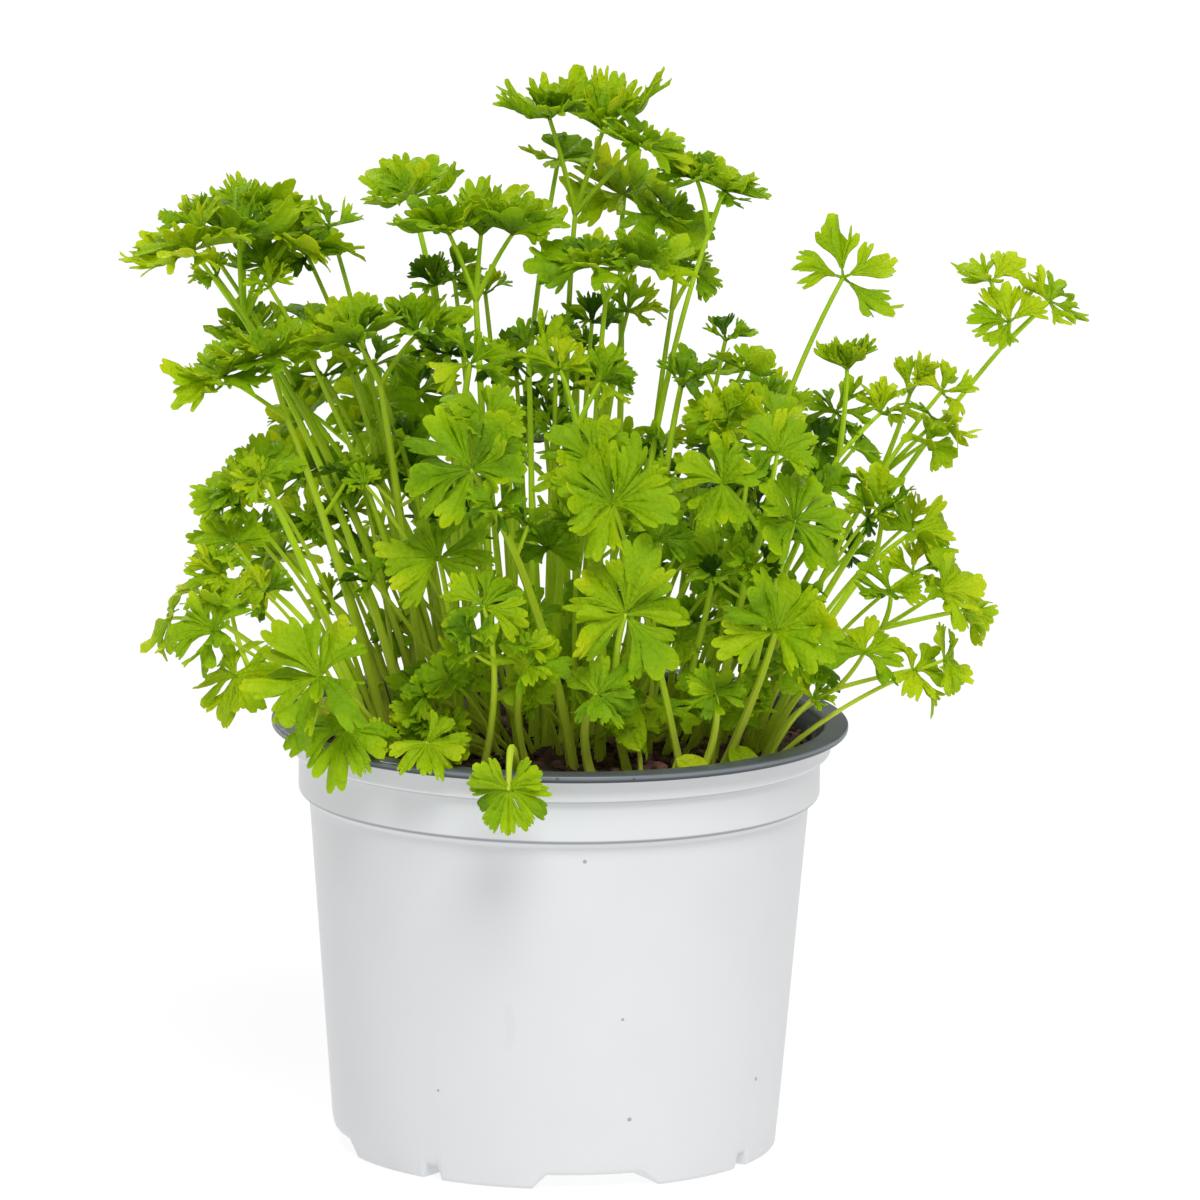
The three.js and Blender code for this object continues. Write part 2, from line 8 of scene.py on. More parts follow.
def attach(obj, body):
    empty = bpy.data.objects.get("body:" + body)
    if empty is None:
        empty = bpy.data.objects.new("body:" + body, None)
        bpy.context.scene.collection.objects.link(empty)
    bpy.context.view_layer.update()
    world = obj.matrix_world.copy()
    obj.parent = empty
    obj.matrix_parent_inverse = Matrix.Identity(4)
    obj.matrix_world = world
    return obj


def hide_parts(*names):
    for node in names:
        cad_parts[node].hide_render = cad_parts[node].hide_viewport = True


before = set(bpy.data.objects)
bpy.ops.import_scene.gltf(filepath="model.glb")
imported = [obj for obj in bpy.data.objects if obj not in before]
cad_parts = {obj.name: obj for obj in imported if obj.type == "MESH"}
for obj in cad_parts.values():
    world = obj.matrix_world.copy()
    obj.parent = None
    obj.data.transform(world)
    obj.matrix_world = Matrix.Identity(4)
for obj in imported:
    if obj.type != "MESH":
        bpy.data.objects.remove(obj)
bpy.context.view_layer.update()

# Curled parsley in a round grower's pot. Sizes are millimetres in the frame of the solids, angles degrees.
MM = 0.001

# Where the random draws of each kind of piece start.
FROND_SEED = 1000
CURLY_SEED = 5000
INNER_SEED = 5001
SOIL_SEED = 77

# The camera: where it stands, the point in the middle of its picture, and how far it leans.
CAMERA_DISTANCE = 2200
CAMERA_ELEVATION = 12.6
CAMERA_AIM_HEIGHT = 50
CAMERA_TARGET = (8.7, 15.8, 120.9)
CAMERA_ROLL = 0.775
CAMERA_LENS = 292.05
CAMERA_FILM = 36
CAMERA_RANGE = (50, 50000)

# The pot, as in the solids.
POT_HEIGHT = 97
LIP_RADIUS = 65
LIP_DEPTH = 1.9
COLLAR_RADIUS = 61
COLLAR_FOOT = 90.6
BAND_RADIUS = 58.7
BAND_FOOT = 81.3
NECK_RADIUS = 56.4
NECK_HEIGHT = 79.2
BASE_RADIUS = 50
SHEET = 1.4
CHANNEL_HEIGHT = 3.2
WALL_FOOT = 6
WALL_FOOT_RISE = (NECK_RADIUS - BASE_RADIUS) * WALL_FOOT / NECK_HEIGHT
CENTRE_FOOT_RADIUS = 17
CENTRE_FOOT_TAPER = 4
# Openings under the rim of the base, repeated in each quarter: azimuths where they start, are full, and end.
NOTCH = (-36.2, -34.8, -31.4, -30)
CHANNEL = (-5.7, -2.1, 23, 28.2)
POT_COLUMNS = 208
CORNER_STEPS = 5
# Above this height on the outside, and all over the inside, the sheet is grey.
GREY_FROM = POT_HEIGHT - LIP_DEPTH + 0.12

# The soil, as in the solids: its level, its dome, and waves that run outwards and round, with their height.
SOIL_LEVEL = 91.5
SOIL_CROWN = 1.6
CRUMB_WAVES = ((0.9, 3, 0.5), (0.37, -5, 0.6))
# On it, lumps and grains of these widths, sinking a little towards the wall.
SOIL_COLUMNS = 140
SOIL_RINGS = 48
SOIL_EDGE = BAND_RADIUS - SHEET - 0.15
SOIL_LUMP = 3.2
SOIL_GRAIN = 1.7
SOIL_RELIEF = 0.9
SOIL_EDGE_WIDTH = 3
SOIL_EDGE_FALL = 1.4
# Radius and height of the rings that close the soil below its surface.
SOIL_BODY = ((SOIL_EDGE, BAND_FOOT + 2), (NECK_RADIUS - SHEET - 1, NECK_HEIGHT - 2),
             (BASE_RADIUS - SHEET - 1, 6))
# Loose crumbs: how many, the share of small ones, and the sizes of both kinds.
CRUMB_COUNT = 520
SMALL_CRUMBS = 0.85
SMALL_CRUMB = (0.9, 2.2)
LARGE_CRUMB = (2.2, 4.2)

# Stalks, as in the solids but round, ribbed and smooth.
STALK_LEAN = 0.36
STALK_RISE = 0.6
STALK_RADII = (1.08, 0.64)
STALK_GIRTHS = (0.7, 1.05)
STALK_BOW = 5
STALK_RIB = 0.09
BRANCH_RADII = (0.6, 0.42)
BRANCH_OVERLAP = 0.6
BRANCH_BOW = 1.5
# How a stem is made: sides, rings, swelling at its foot, length and share of the radius of its blunt tip,
# and depth and share of the radius of the rings below its foot.
STALK = {"sides": 12, "rings": 20, "swell": 0.12, "tip": (0.35, 0.55), "roots": ((8, 0.8), (2, 1.05))}
BRANCH = {"sides": 8, "rings": 8, "swell": 0, "tip": (0.3, 0.5), "roots": ()}
# How far up the colour of a stalk changes.
STALK_COLOUR_HEIGHT = 110
# Stalks of loose leaves, and how light they are beside the others. Curly ones above the height are stouter.
LOOSE_RADII = (0.6, 0.36)
TALL_LOOSE_RADII = (0.75, 0.42)
TALL_LOOSE_HEIGHT = 160
LOOSE_LIGHT = 0.7
SEED_LEAF_RADII = (0.55, 0.4)
SEED_LEAF_BEND = (0.3, 0.7)
SEED_LEAF_LIGHT = 0.8

# The rule for leaflets, as in the solids.
LEAFLET_GAP = 6
LEAFLET_HALF_ANGLE = 44
LEAFLET_SWING = 5
LEAFLET_RANGE = (0.92, 1.08)
SIDE_LEAFLET_FALL = 0.001
LOBE_FALL = 0.14
LOBE_RANGE = (0.93, 1.07)
SMALL_LEAFLET = 13.5
SPREADS = {3: (0, 105, -105), 4: (-36, 36, 108, -108), 5: (0, 64, -64, 127, -127)}
LOBES = {3: 4, 4: 3, 5: 3}
SMALL_LOBES = {3: 3, 4: 2, 5: 2}
MIDDLE_LOBE_REACH = 1.04

# Small leaflets on side branches: where on the stalk they grow, lengths of branch and leaflet, how steeply
# they rise, and the space that they stay in.
SIDE_PAIRS = 2
SIDE_SHARES = (0.55, 0.86)
SIDE_SKIPPED = 0.4
SIDE_BRANCH = (5, 11)
SIDE_RADII = (0.5, 0.36)
SIDE_LENGTH = (6, 9)
SIDE_CUP = (8, 34)
SIDE_TONE = -0.12
SIDE_LEAST_HEIGHT = 40
SIDE_REACH = 52
SIDE_TOP = 160

# Inner leaflets of the large tufted sprays: which sprays have them, how much steeper than the others and how
# long they are, how wide their fan is, the angles of their lobes and their change of tone.
INNER_LEAST_LENGTH = 11.5
INNER_LEAST_CUP = 50
INNER_COUNT = 3
INNER_STEEPER = (18, 34)
INNER_STEEPEST = 74
INNER_SHARE = (0.55, 0.74)
INNER_SPREAD = 48
INNER_LOBES = (-30, 0, 30)
INNER_TONES = (-0.15, 0.05)

# Colours: linear red, green and blue, in a ramp after the place of each.
LEAF_COLOURS = ((0.0, (0.045, 0.13, 0.002)), (0.35, (0.28, 0.52, 0.004)), (0.7, (0.47, 0.69, 0.004)),
                (1.0, (0.66, 0.80, 0.012)))
GLOW_COLOURS = ((0.0, (0.26, 0.44, 0.002)), (0.4, (0.68, 0.85, 0.003)), (1.0, (0.95, 0.96, 0.01)))
VEIN_COLOUR = (0.52, 0.66, 0.06)
# Painted shade along the sunken vein creases of upper sides.
CREASE_SHADE_COLOUR = (0.07, 0.17, 0.003)
# Undersides: a green darkened as painted shade. Veins in the light through a leaf are tinted with it too.
UNDERSIDE_SHADE_COLOUR = (0.20, 0.34, 0.02)
STALK_COLOURS = ((0.0, (0.78, 0.88, 0.09)), (0.25, (0.70, 0.91, 0.02)), (1.0, (0.54, 0.82, 0.009)))
STALK_LIGHTS = ((0.0, (0.74, 0.74, 0.74)), (1.0, (1.0, 1.0, 1.0)))
RIB_COLOUR = (0.84, 0.92, 0.14)
SOIL_COLOURS = ((0.2, (0.012, 0.006, 0.005)), (0.5, (0.055, 0.022, 0.015)), (0.75, (0.14, 0.052, 0.036)),
                (0.95, (0.24, 0.12, 0.08)))
POT_WHITES = ((0.3, (0.70, 0.715, 0.73)), (0.7, (0.735, 0.75, 0.765)))
POT_SCUFF = (0.55, 0.54, 0.50)
POT_SPECK = (0.12, 0.09, 0.07)
LIP_GREYS = ((0.3, (0.066, 0.076, 0.088)), (0.7, (0.118, 0.133, 0.148)))
# The pot's grey inside, deepened into painted shade.
INSIDE_SHADED_GREY = (0.018, 0.020, 0.024)
WORN_GREY = (0.30, 0.31, 0.32)
GRIT_COLOUR = (0.03, 0.02, 0.015)
# Bands round the pot, painted shade and highlight: height, half width, depth and colour of each.
# Painted shade: dark lines just under the band, the collar and the lip.
STEP_SHADE_COLOUR = (0.16, 0.17, 0.18)
POT_SHADE_LINES = ((BAND_FOOT - 0.8, 0.55, 0.75, STEP_SHADE_COLOUR), (COLLAR_FOOT - 0.9, 0.4, 0.35, STEP_SHADE_COLOUR),
             (POT_HEIGHT - 2.0, 0.5, 0.6, STEP_SHADE_COLOUR))
# On the lip, a painted shade line at its foot and a painted highlight along its rounded top.
LIP_SHADE_AND_HIGHLIGHT = ((POT_HEIGHT - 1.7, 0.55, 0.8, (0.02, 0.023, 0.028)),
             (POT_HEIGHT - 0.7, 0.45, 0.6, (0.26, 0.29, 0.32)))
LEAF_TRANSLUCENCY = 0.45
STALK_TRANSLUCENCY = 0.35

# The studio: a pale sky, a sun in front and one behind, and a floor that shines a little, to stay white.
WORLD_STRENGTH = 0.38
FLOOR_HALF = 12000
FLOOR_GLOW = 0.84
FLOOR_COLOUR = 0.19
# Each sun: its name, strength, width and the way to it.
SUNS = (("key", 2.0, 28, (0.22, -1.0, 1.2)), ("back", 1.3, 12, (-0.4, 1.0, 1.0)))

# Each frond, as in the solids: where its stalk leaves the soil, where it forks if it does, and its sprays of
# leaflets: x, y, z of the hub, leaflet length, the way its upper side faces (azimuth from the front towards
# the right, elevation), how steeply the leaflets rise, how many.
FRONDS = (
    # high on the left
    ((-34, 3), (-72, 5, 186), [(-73, 5, 205, 19, -60, 82, 26, 5), (-72, 18, 208, 16, 170, 80, 22, 3),
      (-83, -3, 202.5, 18, -70, 74, 24, 4), (-62, 9, 203, 18, 60, 74, 16, 4),
      (-68, 12, 197, 12, 0, 60, 14, 4)]),
    ((-15, 4), (-20, 0, 192), [(-26, -4, 207, 15, -60, 84, 34, 3), (-19, 2, 206, 16, 10, 86, 54, 4),
      (-12, -3, 207, 15, 70, 84, 34, 3)]),
    ((-20, 14), None, [(-35, 23, 211, 15, -30, 72, 30, 4)]),
    # the top
    ((3, 6), (2, 6, 211), [(-4, 4, 232, 15, -40, 84, 38, 4), (8, 9, 229, 18, 20, 84, 50, 4),
      (16, 0, 227, 14, 60, 72, 16, 4)]),
    ((-11, 10), None, [(-2, 16, 221, 11, -30, 76, 24, 3)]),
    ((14, -2), (32, 1, 208), [(29, 2, 219, 12, 0, 82, 32, 3), (35, 0, 217, 12, 50, 72, 24, 4)]),
    ((9, 15), (12, 13, 201), [(13, 18, 213, 16, 0, 66, 8, 4), (22, 8, 210, 13, 60, 60, 8, 3)]),
    ((16, 6), (24, 5, 190), [(25, 9, 200, 10, 0, 72, 20, 4), (29, 12, 197, 10, 60, 50, 5, 4)]),
    ((7, -10), (9, -10, 194), [(6, -10, 201, 14, -50, 80, 24, 3), (16, -11, 202, 14, 60, 78, 22, 3)]),
    # high on the right
    ((33, 2), None, [(62, 5, 197, 16, 34, 42, 12, 4)]),
    ((42, 0), (98, 0, 183), [(95, 2, 197, 11, -20, 80, 22, 3), (108, 0, 193, 12, 60, 50, 8, 4),
      (99, -4, 189, 12, 0, 40, 2, 4)]),
    ((35, -6), (62, 0, 158), [(63, -5, 178, 11, 0, 84, 52, 4), (71, 7, 166, 10, 60, 70, 20, 4)]),
    ((42, -8), (71, -4, 154), [(77, -8, 173, 12, 10, 72, 40, 4), (83, -13, 168, 11, 60, 58, 14, 4),
      (81, -12, 163, 9, 30, 44, 8, 3)]),
    # right
    ((45, -12), (70, -11, 136), [(71, -13, 147, 11, -10, 74, 30, 3), (78, -10, 142, 13, 50, 46, 6, 5)]),
    ((46, -17), (72, -18, 122), [(73, -23, 131, 11, -10, 62, 28, 4), (84, -27, 132, 12, 40, 46, 8, 4),
      (90, -15, 125.5, 11, 70, 34, -6, 4)]),
    ((47, -24), (62, -27, 110), [(67, -33, 119, 12, 20, 46, 10, 4), (78, -31, 115, 13, 50, 36, 0, 4)]),
    ((38, -26), None, [(51, -42, 150, 15, 20, 26, 10, 5)]),
    ((34, -22), (44, -38, 147), [(35, -46, 159, 13, -15, 34, 12, 5), (47, -41, 165, 12, 20, 40, 14, 4)]),
    ((36, -33), None, [(47, -51, 127, 17, 5, 34, 16, 5)]),
    ((26, 4), (36, 4, 166), [(40, -2, 177, 10, 30, 78, 36, 3), (32, 10, 174, 11, -20, 78, 18, 4)]),
    ((21, -5), None, [(26, -8, 174, 11, 0, 74, 30, 4)]),
    ((30, 8), None, [(46, 18, 167, 13, 30, 66, 10, 4)]),
    ((30, -12), (41, -13, 155), [(36, -18, 168, 12, -20, 62, 24, 4), (46, -11, 167, 11, 30, 62, 20, 3)]),
    ((24, -16), None, [(34, -25, 137, 11, 0, 48, 10, 4)]),
    ((31, -41), None, [(34, -46, 112, 9, 0, 50, 12, 5)]),
    # middle of the left side
    ((-39, -3), (-62, -2, 165), [(-76, -9, 175, 15, -70, 68, 10, 3), (-66, -8, 180, 14, -50, 74, 12, 3)]),
    ((-26, 8), (-61, 17, 167), [(-70, 17, 180, 13, -40, 74, 24, 4), (-59, 24, 181, 11, 30, 80, 34, 3)]),
    ((-31, 6), None, [(-51, 5, 183, 12, -20, 78, 36, 4)]),
    ((-29, 1), (-41, -8, 174), [(-46, -13, 184, 16, -50, 78, 36, 4), (-33, -9, 185, 15, 50, 76, 32, 4)]),
    ((-22, -9), None, [(-21, -25, 181, 12, 20, 52, 10, 4)]),
    ((-6, -6), None, [(-8, -15, 182, 13, -30, 60, 12, 4)]),
    ((-3, -12), (3, -26, 168), [(-1, -29, 181, 11, -20, 50, 10, 4), (8, -27, 178, 10, 30, 58, 16, 4)]),
    ((-26, 15), (-38, 22, 152), [(-42, 24, 163, 14, -30, 44, 0, 4), (-33, 28, 166, 13, 20, 50, 5, 4)]),
    ((-42, -7), (-64, -8, 146), [(-73, -12, 151, 12, -40, 50, 8, 5), (-67, -4, 154, 10, 0, 74, 30, 3)]),
    ((-38, 11), None, [(-59, 24, 147, 15, -10, 58, 8, 4)]),
    ((-44, -12), (-67, -11, 129), [(-76, -7, 137, 10, -60, 48, 8, 4), (-73, -16, 139, 11, -10, 44, 8, 4)]),
    ((-46, -17), (-76, -17, 121), [(-80, -20, 128, 10, -40, 52, 14, 4),
      (-87, -13, 121, 11, -70, 38, -10, 3)]),
    # low on the left
    ((-47, -21), (-69, -30, 112), [(-73, -30, 126, 11, -30, 80, 44, 3),
      (-72, -32, 112, 13, -35, 34, -2, 5)]),
    ((-39, -22), None, [(-53, -48, 115, 17, -20, 34, 8, 5)]),
    ((-38, -33), None, [(-47, -48, 103, 14, -20, 46, -4, 4)]),
    ((-25, -42), None, [(-29, -56, 102, 11, -20, 44, 0, 4)]),
    # front
    ((3, -33), None, [(-20, -50, 162, 17, -8, 24, 10, 5)]),
    ((-9, -20), None, [(-17, -40, 170, 12, 0, 36, 12, 4)]),
    ((-22, -22), None, [(-27, -44, 141, 15, -10, 30, 8, 5)]),
    ((-17, -40), None, [(-17, -58, 133, 13, -20, 42, -6, 4)]),
    ((9, -27), None, [(6, -44, 163, 14, 5, 28, 12, 4)]),
    ((27, -37), None, [(11, -51, 155, 17, 5, 32, 8, 5)]),
    ((15, -36), None, [(14, -54, 131, 18, 8, 10, 0, 5)]),
    ((7, -42), None, [(8, -54, 113, 11, 0, 32, 5, 4)]),
    ((-7, -38), None, [(-7, -53, 119, 11, -10, 36, 8, 4)]),
    ((-9, -47), None, [(-11, -75, 96, 12, -5, 12, -6, 5)]),
    # back
    ((-24, 28), (-46, 48, 148), [(-58, 46, 158, 16, -110, 56, 10, 4), (-40, 56, 153, 13, -160, 50, 8, 4)]),
    ((2, 34), (0, 56, 138), [(-12, 60, 148, 16, -160, 56, 12, 4), (10, 62, 146, 16, 160, 54, 12, 4)]),
    ((27, 28), (42, 46, 142), [(38, 54, 152, 13, 150, 54, 10, 4), (52, 44, 150, 15, 110, 56, 10, 4)]),
    ((-34, 24), None, [(-64, 42, 126, 16, -110, 44, 5, 4)]),
    ((-10, 42), None, [(-24, 68, 130, 13, -165, 36, 5, 4)]),
    ((14, 42), None, [(22, 68, 132, 16, 165, 36, 5, 4)]),
    ((38, 24), None, [(46, 48, 116, 15, 150, 44, 5, 4)]),
)
# The point that the hanging frond arches over, by its root.
ARCHES = {(-9, -47): (-11, -72, 113)}

# Leaves on thin stalks of their own: x and y of the root, then a spray as above.
CURLY_LEAVES = (
    (-14, 2, -26, -4, 180, 10, -20, 60, 20, 5), (-9, -3, -14, -12, 178, 9, 0, 55, 20, 5),
    (-2, 2, -2, -6, 183, 9, 10, 60, 20, 4), (4, -4, 9, -14, 176, 9, 20, 52, 15, 4),
    (0, 12, 14, 10, 188, 10, 20, 62, 20, 5), (-20, 8, -29, 0, 195, 9, -10, 60, 20, 5),
    (-40, -4, -72, -14, 147, 9, -40, 50, 14, 5), (-41, 2, -67, -20, 154, 8, -20, 45, 10, 4),
    (-36, 7, -45, 7, 148, 11, -10, 60, 12, 5), (-24, 10, -54, 12, 172, 12, -20, 60, 10, 5),
    (-22, 7, -43, 10, 175, 12, 10, 60, 12, 5), (2, 3, 6, 0, 187, 10, 10, 60, 15, 5),
    (-4, 8, -9, 12, 171, 9, -10, 50, 16, 4), (3, 8, 3, 13, 170, 9, 10, 50, 16, 4),
    (-32, 8, -57, 10, 140, 11, -10, 52, 8, 5), (-43, 1, -69, 4, 137, 9, -20, 50, 8, 4),
    (-45, -19, -77, -34, 122, 12, -40, 42, 4, 5), (44, -10, 78, -16, 134, 11, 20, 50, 8, 5),
    (38, 3, 61, 8, 166, 11, 20, 60, 10, 5), (-16, 10, -25, 10, 195, 9, -10, 60, 20, 4),
    (-10, 12, -18, 14, 191, 9, 10, 60, 20, 4), (-26, 12, -58, 14, 199, 10, 10, 60, 14, 4),
    (-30, 10, -84, 8, 207, 9, -40, 60, 14, 4), (-2, -14, -3, -30, 141, 11, 0, 40, 12, 4),
    (3, -16, 3, -33, 148, 9, 20, 40, 14, 5), (-5, -17, -7, -33, 124, 11, -10, 40, 12, 4),
    (20, -20, 21, -38, 145, 11, 10, 38, 12, 5), (-28, 8, -66, 0, 194, 8, -20, 50, 20, 4),
    (-30, 6, -78, 2, 196, 8, -40, 50, 20, 4), (-32, 14, -48, 16, 140, 10, -10, 50, 14, 5),
    (-28, 12, -40, 13, 127, 9, 10, 50, 14, 4), (-26, 16, -36, 18, 151, 10, 0, 50, 14, 4),
    (-34, 18, -52, 21, 119, 9, -20, 50, 14, 4), (44, -6, 84, -10, 174, 10, 40, 55, 12, 4),
    (47, -25, 85, -30, 117, 11, 50, 36, 4, 4), (-36, 10, -54, 22, 134, 10, -10, 50, 10, 5),
    (-34, 14, -46, 26, 126, 9, -10, 50, 10, 4), (-26, 12, -37, 14, 112, 8, 0, 50, 14, 4),
    (-30, 13, -53, 12, 206, 10, 40, 50, 10, 4), (24, 6, 36, 8, 182, 9, 10, 66, 20, 4),
    (46, -27, 56, -30, 108, 7, 30, 50, 10, 4), (-44, -15, -76, -22, 133, 9, -40, 45, 10, 5),
    (-45, -6, -66, -18, 128, 9, -20, 40, 10, 4), (43, -3, 68, -14, 146, 9, 10, 50, 14, 5),
    (44, 4, 78, -2, 143, 9, 40, 50, 14, 4), (34, -29, 36, -33, 109, 6.5, -20, 40, 25, 5),
    (37, -28, 43, -32, 108, 6, 30, 40, 25, 5),
)
# Those longer than the first number that face forward, with an elevation below the second, are broad.
BROAD_LEAVES = (10, 45)
# Where the inner leaves are drawn: style, number, middle and reach of the cluster, range of leaflet lengths.
INNER_CLUSTERS = (
    ("broad", 9, (12, -2, 120), (24, 22, 12), (7, 10)),
    ("curly", 9, (8, 4, 150), (30, 18, 14), (6, 9)),
    ("broad", 8, (38, -8, 124), (16, 20, 14), (7, 10)),
    ("broad", 6, (-14, 4, 112), (24, 24, 9), (7, 9)),
    ("curly", 8, (-44, 2, 140), (20, 16, 14), (6, 9)),
    ("curly", 7, (-12, 6, 172), (24, 14, 10), (6, 9)),
    ("curly", 7, (48, 2, 146), (18, 16, 16), (6, 9)),
    ("broad", 5, (62, 2, 154), (8, 12, 10), (7, 9)),
    ("broad", 10, (-12, -34, 106), (24, 9, 8), (6, 9)),
    ("broad", 9, (26, -30, 107), (20, 10, 9), (6, 9)),
    ("curly", 5, (-32, -40, 101), (9, 5, 2), (6, 8)),
)
# Seed-leaves: root, foot of the blade, the way it faces, its turn about that, length, width and tone.
SEED_LEAVES = (
    ((18, -41), (17.5, -44, 98.5), 0, 20, 6, 13, 8, 0.75),
    ((38, -30), (39, -33, 97.5), 30, 58, 20, 10, 7.5, 0.8),
    ((25, -43), (26, -44, 96.5), 10, 48, -60, 8, 6, 1.0),
    ((44, -14), (45, -15, 98), 60, 50, 0, 8, 6, 0.7),
    ((-28, -38), (-29, -40, 97), -20, 50, 10, 8, 6, 0.85),
    ((-44, 4), (-45, 5, 99), -90, 50, 0, 8, 6, 0.7),
    ((8, 42), (9, 43, 99), 170, 50, 0, 8, 6, 0.7),
)

# The tone of a leaf, 0 for deep green and 1 for yellow-green, and what is added to it from the first height
# or x to the second: for low leaves and for those far to the right and to the left.
LEAF_TONE = 0.52
LOW_TONE = (160, 105, 0.07)
RIGHT_TONE = (62, 88, 0.22)
LEFT_TONE = (-35, -60, 0.06)
FROND_TONES = (-0.08, 0.08)
LOOSE_TONES = (-0.1, 0.1)
CURLY_TONE = -0.06
# The inner leaves are painted darker the further back in the clump they are, as painted shade: by this much
# from the first y to the second.
INNER_PAINTED_SHADE = (-34, -16, 0.24)
# Painted light and shade: how much lighter than the rest of its blade a raised spot is painted, and a hollow
# darker, in tones for a whole leaflet's length.
PAINTED_HOLLOW_SHADE = 0.6
LOBE_TONES = (-0.12, 0.12)

# Where the styles of leaflet below grow, by the hub: round at the front and low, broad where leaves face
# forward, curly in a band in the middle and one on the right, open high on the right, and goblet elsewhere.
ROUND_FRONT = -44
ROUND_TOP = 118
BROAD_ELEVATION = 50
HIGH_FOOT = 182
CURLY_MIDDLE = 30
CURLY_MIDDLE_HEIGHTS = (172, 186)
CURLY_RIGHT = 64
CURLY_RIGHT_FOOT = 140
OPEN_RIGHT = 50

# How the styles depart from a flat fan: values, or ranges that one is drawn from for each leaflet or lobe,
# in shares of the leaflet's length where nothing else is said.
STYLE_NAMES = ("goblet", "open", "round", "broad", "curly")
STYLE_VALUES = {
    # how far out the cuts between lobes start, and how pointed the lobes are
    "cut": ((0.32, 0.52), (0.34, 0.50), (0.30, 0.50), (0.36, 0.58), (0.28, 0.46)),
    "blunt": (0.34, 0.4, 0.42, 0.42, 0.4),
    # the rounded teeth on each lobe, and the depth between them as a share of the lobe
    "teeth": ((2, 4), (2, 3), (2, 3), (2, 3), (2, 3)),
    "tooth_cut": ((0.19, 0.33), (0.20, 0.34), (0.12, 0.22), (0.12, 0.24), (0.24, 0.42)),
    # how lobes fold along their middle, curl back, and wave up and down in turn with their teeth
    "fold": ((-0.16, 0.10), (-0.16, 0.16), (-0.14, 0.08), (-0.16, 0.10), (-0.2, 0.2)),
    "recurve": ((-0.04, 0.24), (-0.06, 0.24), (-0.04, 0.34), (-0.08, 0.36), (-0.1, 0.30)),
    "lobe_wave": ((0.04, 0.17), (0.05, 0.2), (0.10, 0.26), (0.12, 0.32), (0.12, 0.32)),
    "tooth_wave": (0.06, 0.06, 0.03, 0.03, 0.12),
    "ripple": (0.06, 0.06, 0.07, 0.08, 0.08),
    # how the blade arches along its length, droops, and rises at its sides
    "arch": ((-0.10, 0.02), (-0.05, 0.08), (-0.02, 0.10), (-0.02, 0.10), (-0.05, 0.1)),
    "droop": (0.0, 0.0, 0.05, 0.05, 0.0),
    "cup": ((-0.06, 0.24), (-0.1, 0.2), (-0.14, 0.18), (-0.14, 0.18), (-0.15, 0.3)),
    # how much of its full angle the fan has at the hub, and how far a lobe widens over its neighbours
    "flare": (0.40, 0.46, 0.64, 0.56, 0.24),
    "swell": ((0.05, 0.9), (-0.2, 0.3), (-0.25, 0.3), (-0.25, 0.45), (-0.1, 0.7)),
    # degrees by which a leaflet is wider than its space, turns about its length, and rises more than its cup
    "lap": (4, 6, 6, 6, 3),
    "roll": (28, 24, 24, 32, 28),
    "lean": ((-9, 5), (-10, 14), (-16, 22), (-20, 30), (-10, 28)),
    # its own short stalk, and its change of tone
    "stem": ((0.01, 0.05), (0.04, 0.16), (0.0, 0.06), (0.0, 0.1), (0.05, 0.2)),
    "tone": (0.27, 0.2, 0.14, 0.15, 0.34),
}
STYLES = {style: {key: values[k] for key, values in STYLE_VALUES.items()}
          for k, style in enumerate(STYLE_NAMES)}
# How finely a leaflet is made, by its length: columns across a tooth, and rows from the hub to the edge.
FINE_LEAFLET = 13.5
TINY_LEAFLET = 9.2
FINE_GRAIN = ((-0.8, -0.42, 0, 0.42, 0.8), (0, 0.2, 0.42, 0.62, 0.8, 0.92, 1))
MIDDLE_GRAIN = ((-0.66, 0, 0.66), (0, 0.28, 0.56, 0.8, 1))
TINY_GRAIN = ((-0.5, 0.5), (0, 0.36, 0.72, 1))
# How much wider the middle lobe is, where a lobe's sides and teeth run, how round the teeth are, and how far
# out the fan is fully open.
MIDDLE_LOBE_SHARE = 0.1
LOBE_SIDE = 0.05
LOBE_SIDE_PLACE = 0.7
TOOTH_MARGIN = 0.10
TOOTH_ROUNDNESS = 0.94
FAN_OPEN = 0.62
LEAF_THICKNESS = 0.34
EDGE_THINNING = 0.45
LEAFLET_FOOT = 0.5
LEAF_STEM_SIDES = 5
LEAF_STEM_RADII = (0.42, 0.36, 0.2)


def vector(values):
    return np.array(values, dtype=float)


def unit(v):
    return v / np.linalg.norm(v)


def draws(seed):
    """A fixed run of draws between 0 and 1, the same as in the solids."""
    state = (int(round(seed)) % 2147483646) + 1
    while True:
        state = (state * 16807) % 2147483647
        yield state / 2147483647


def within(span, share):
    return span[0] + (span[1] - span[0]) * share


def smooth(low, high, value):
    t = np.clip((value - low) / (high - low), 0, 1)
    return t * t * (3 - 2 * t)


def around(radius, angle):
    """x and y at a radius and an angle from the front towards the right."""
    return radius * math.sin(angle), -radius * math.cos(angle)


def turned_about(v, axis, degrees):
    """v turned about a unit axis."""
    a = math.radians(degrees)
    return v * math.cos(a) + np.cross(axis, v) * math.sin(a) + axis * np.dot(axis, v) * (1 - math.cos(a))


def direction(azimuth, elevation):
    e = math.radians(elevation)
    return vector((*around(math.cos(e), math.radians(azimuth)), math.sin(e)))


def across_face(v, facing):
    """The direction of v in the plane that faces facing."""
    return unit(v - facing * np.dot(v, facing))


def grid_of(lengths, way):
    """A grid of lengths along one way."""
    return lengths[..., None] * way


def bend(start, control, end, share):
    return start * (1 - share) ** 2 + control * (2 * share * (1 - share)) + end * share**2


def bend_slope(start, control, end, share):
    return unit((control - start) * (1 - share) + (end - control) * share)


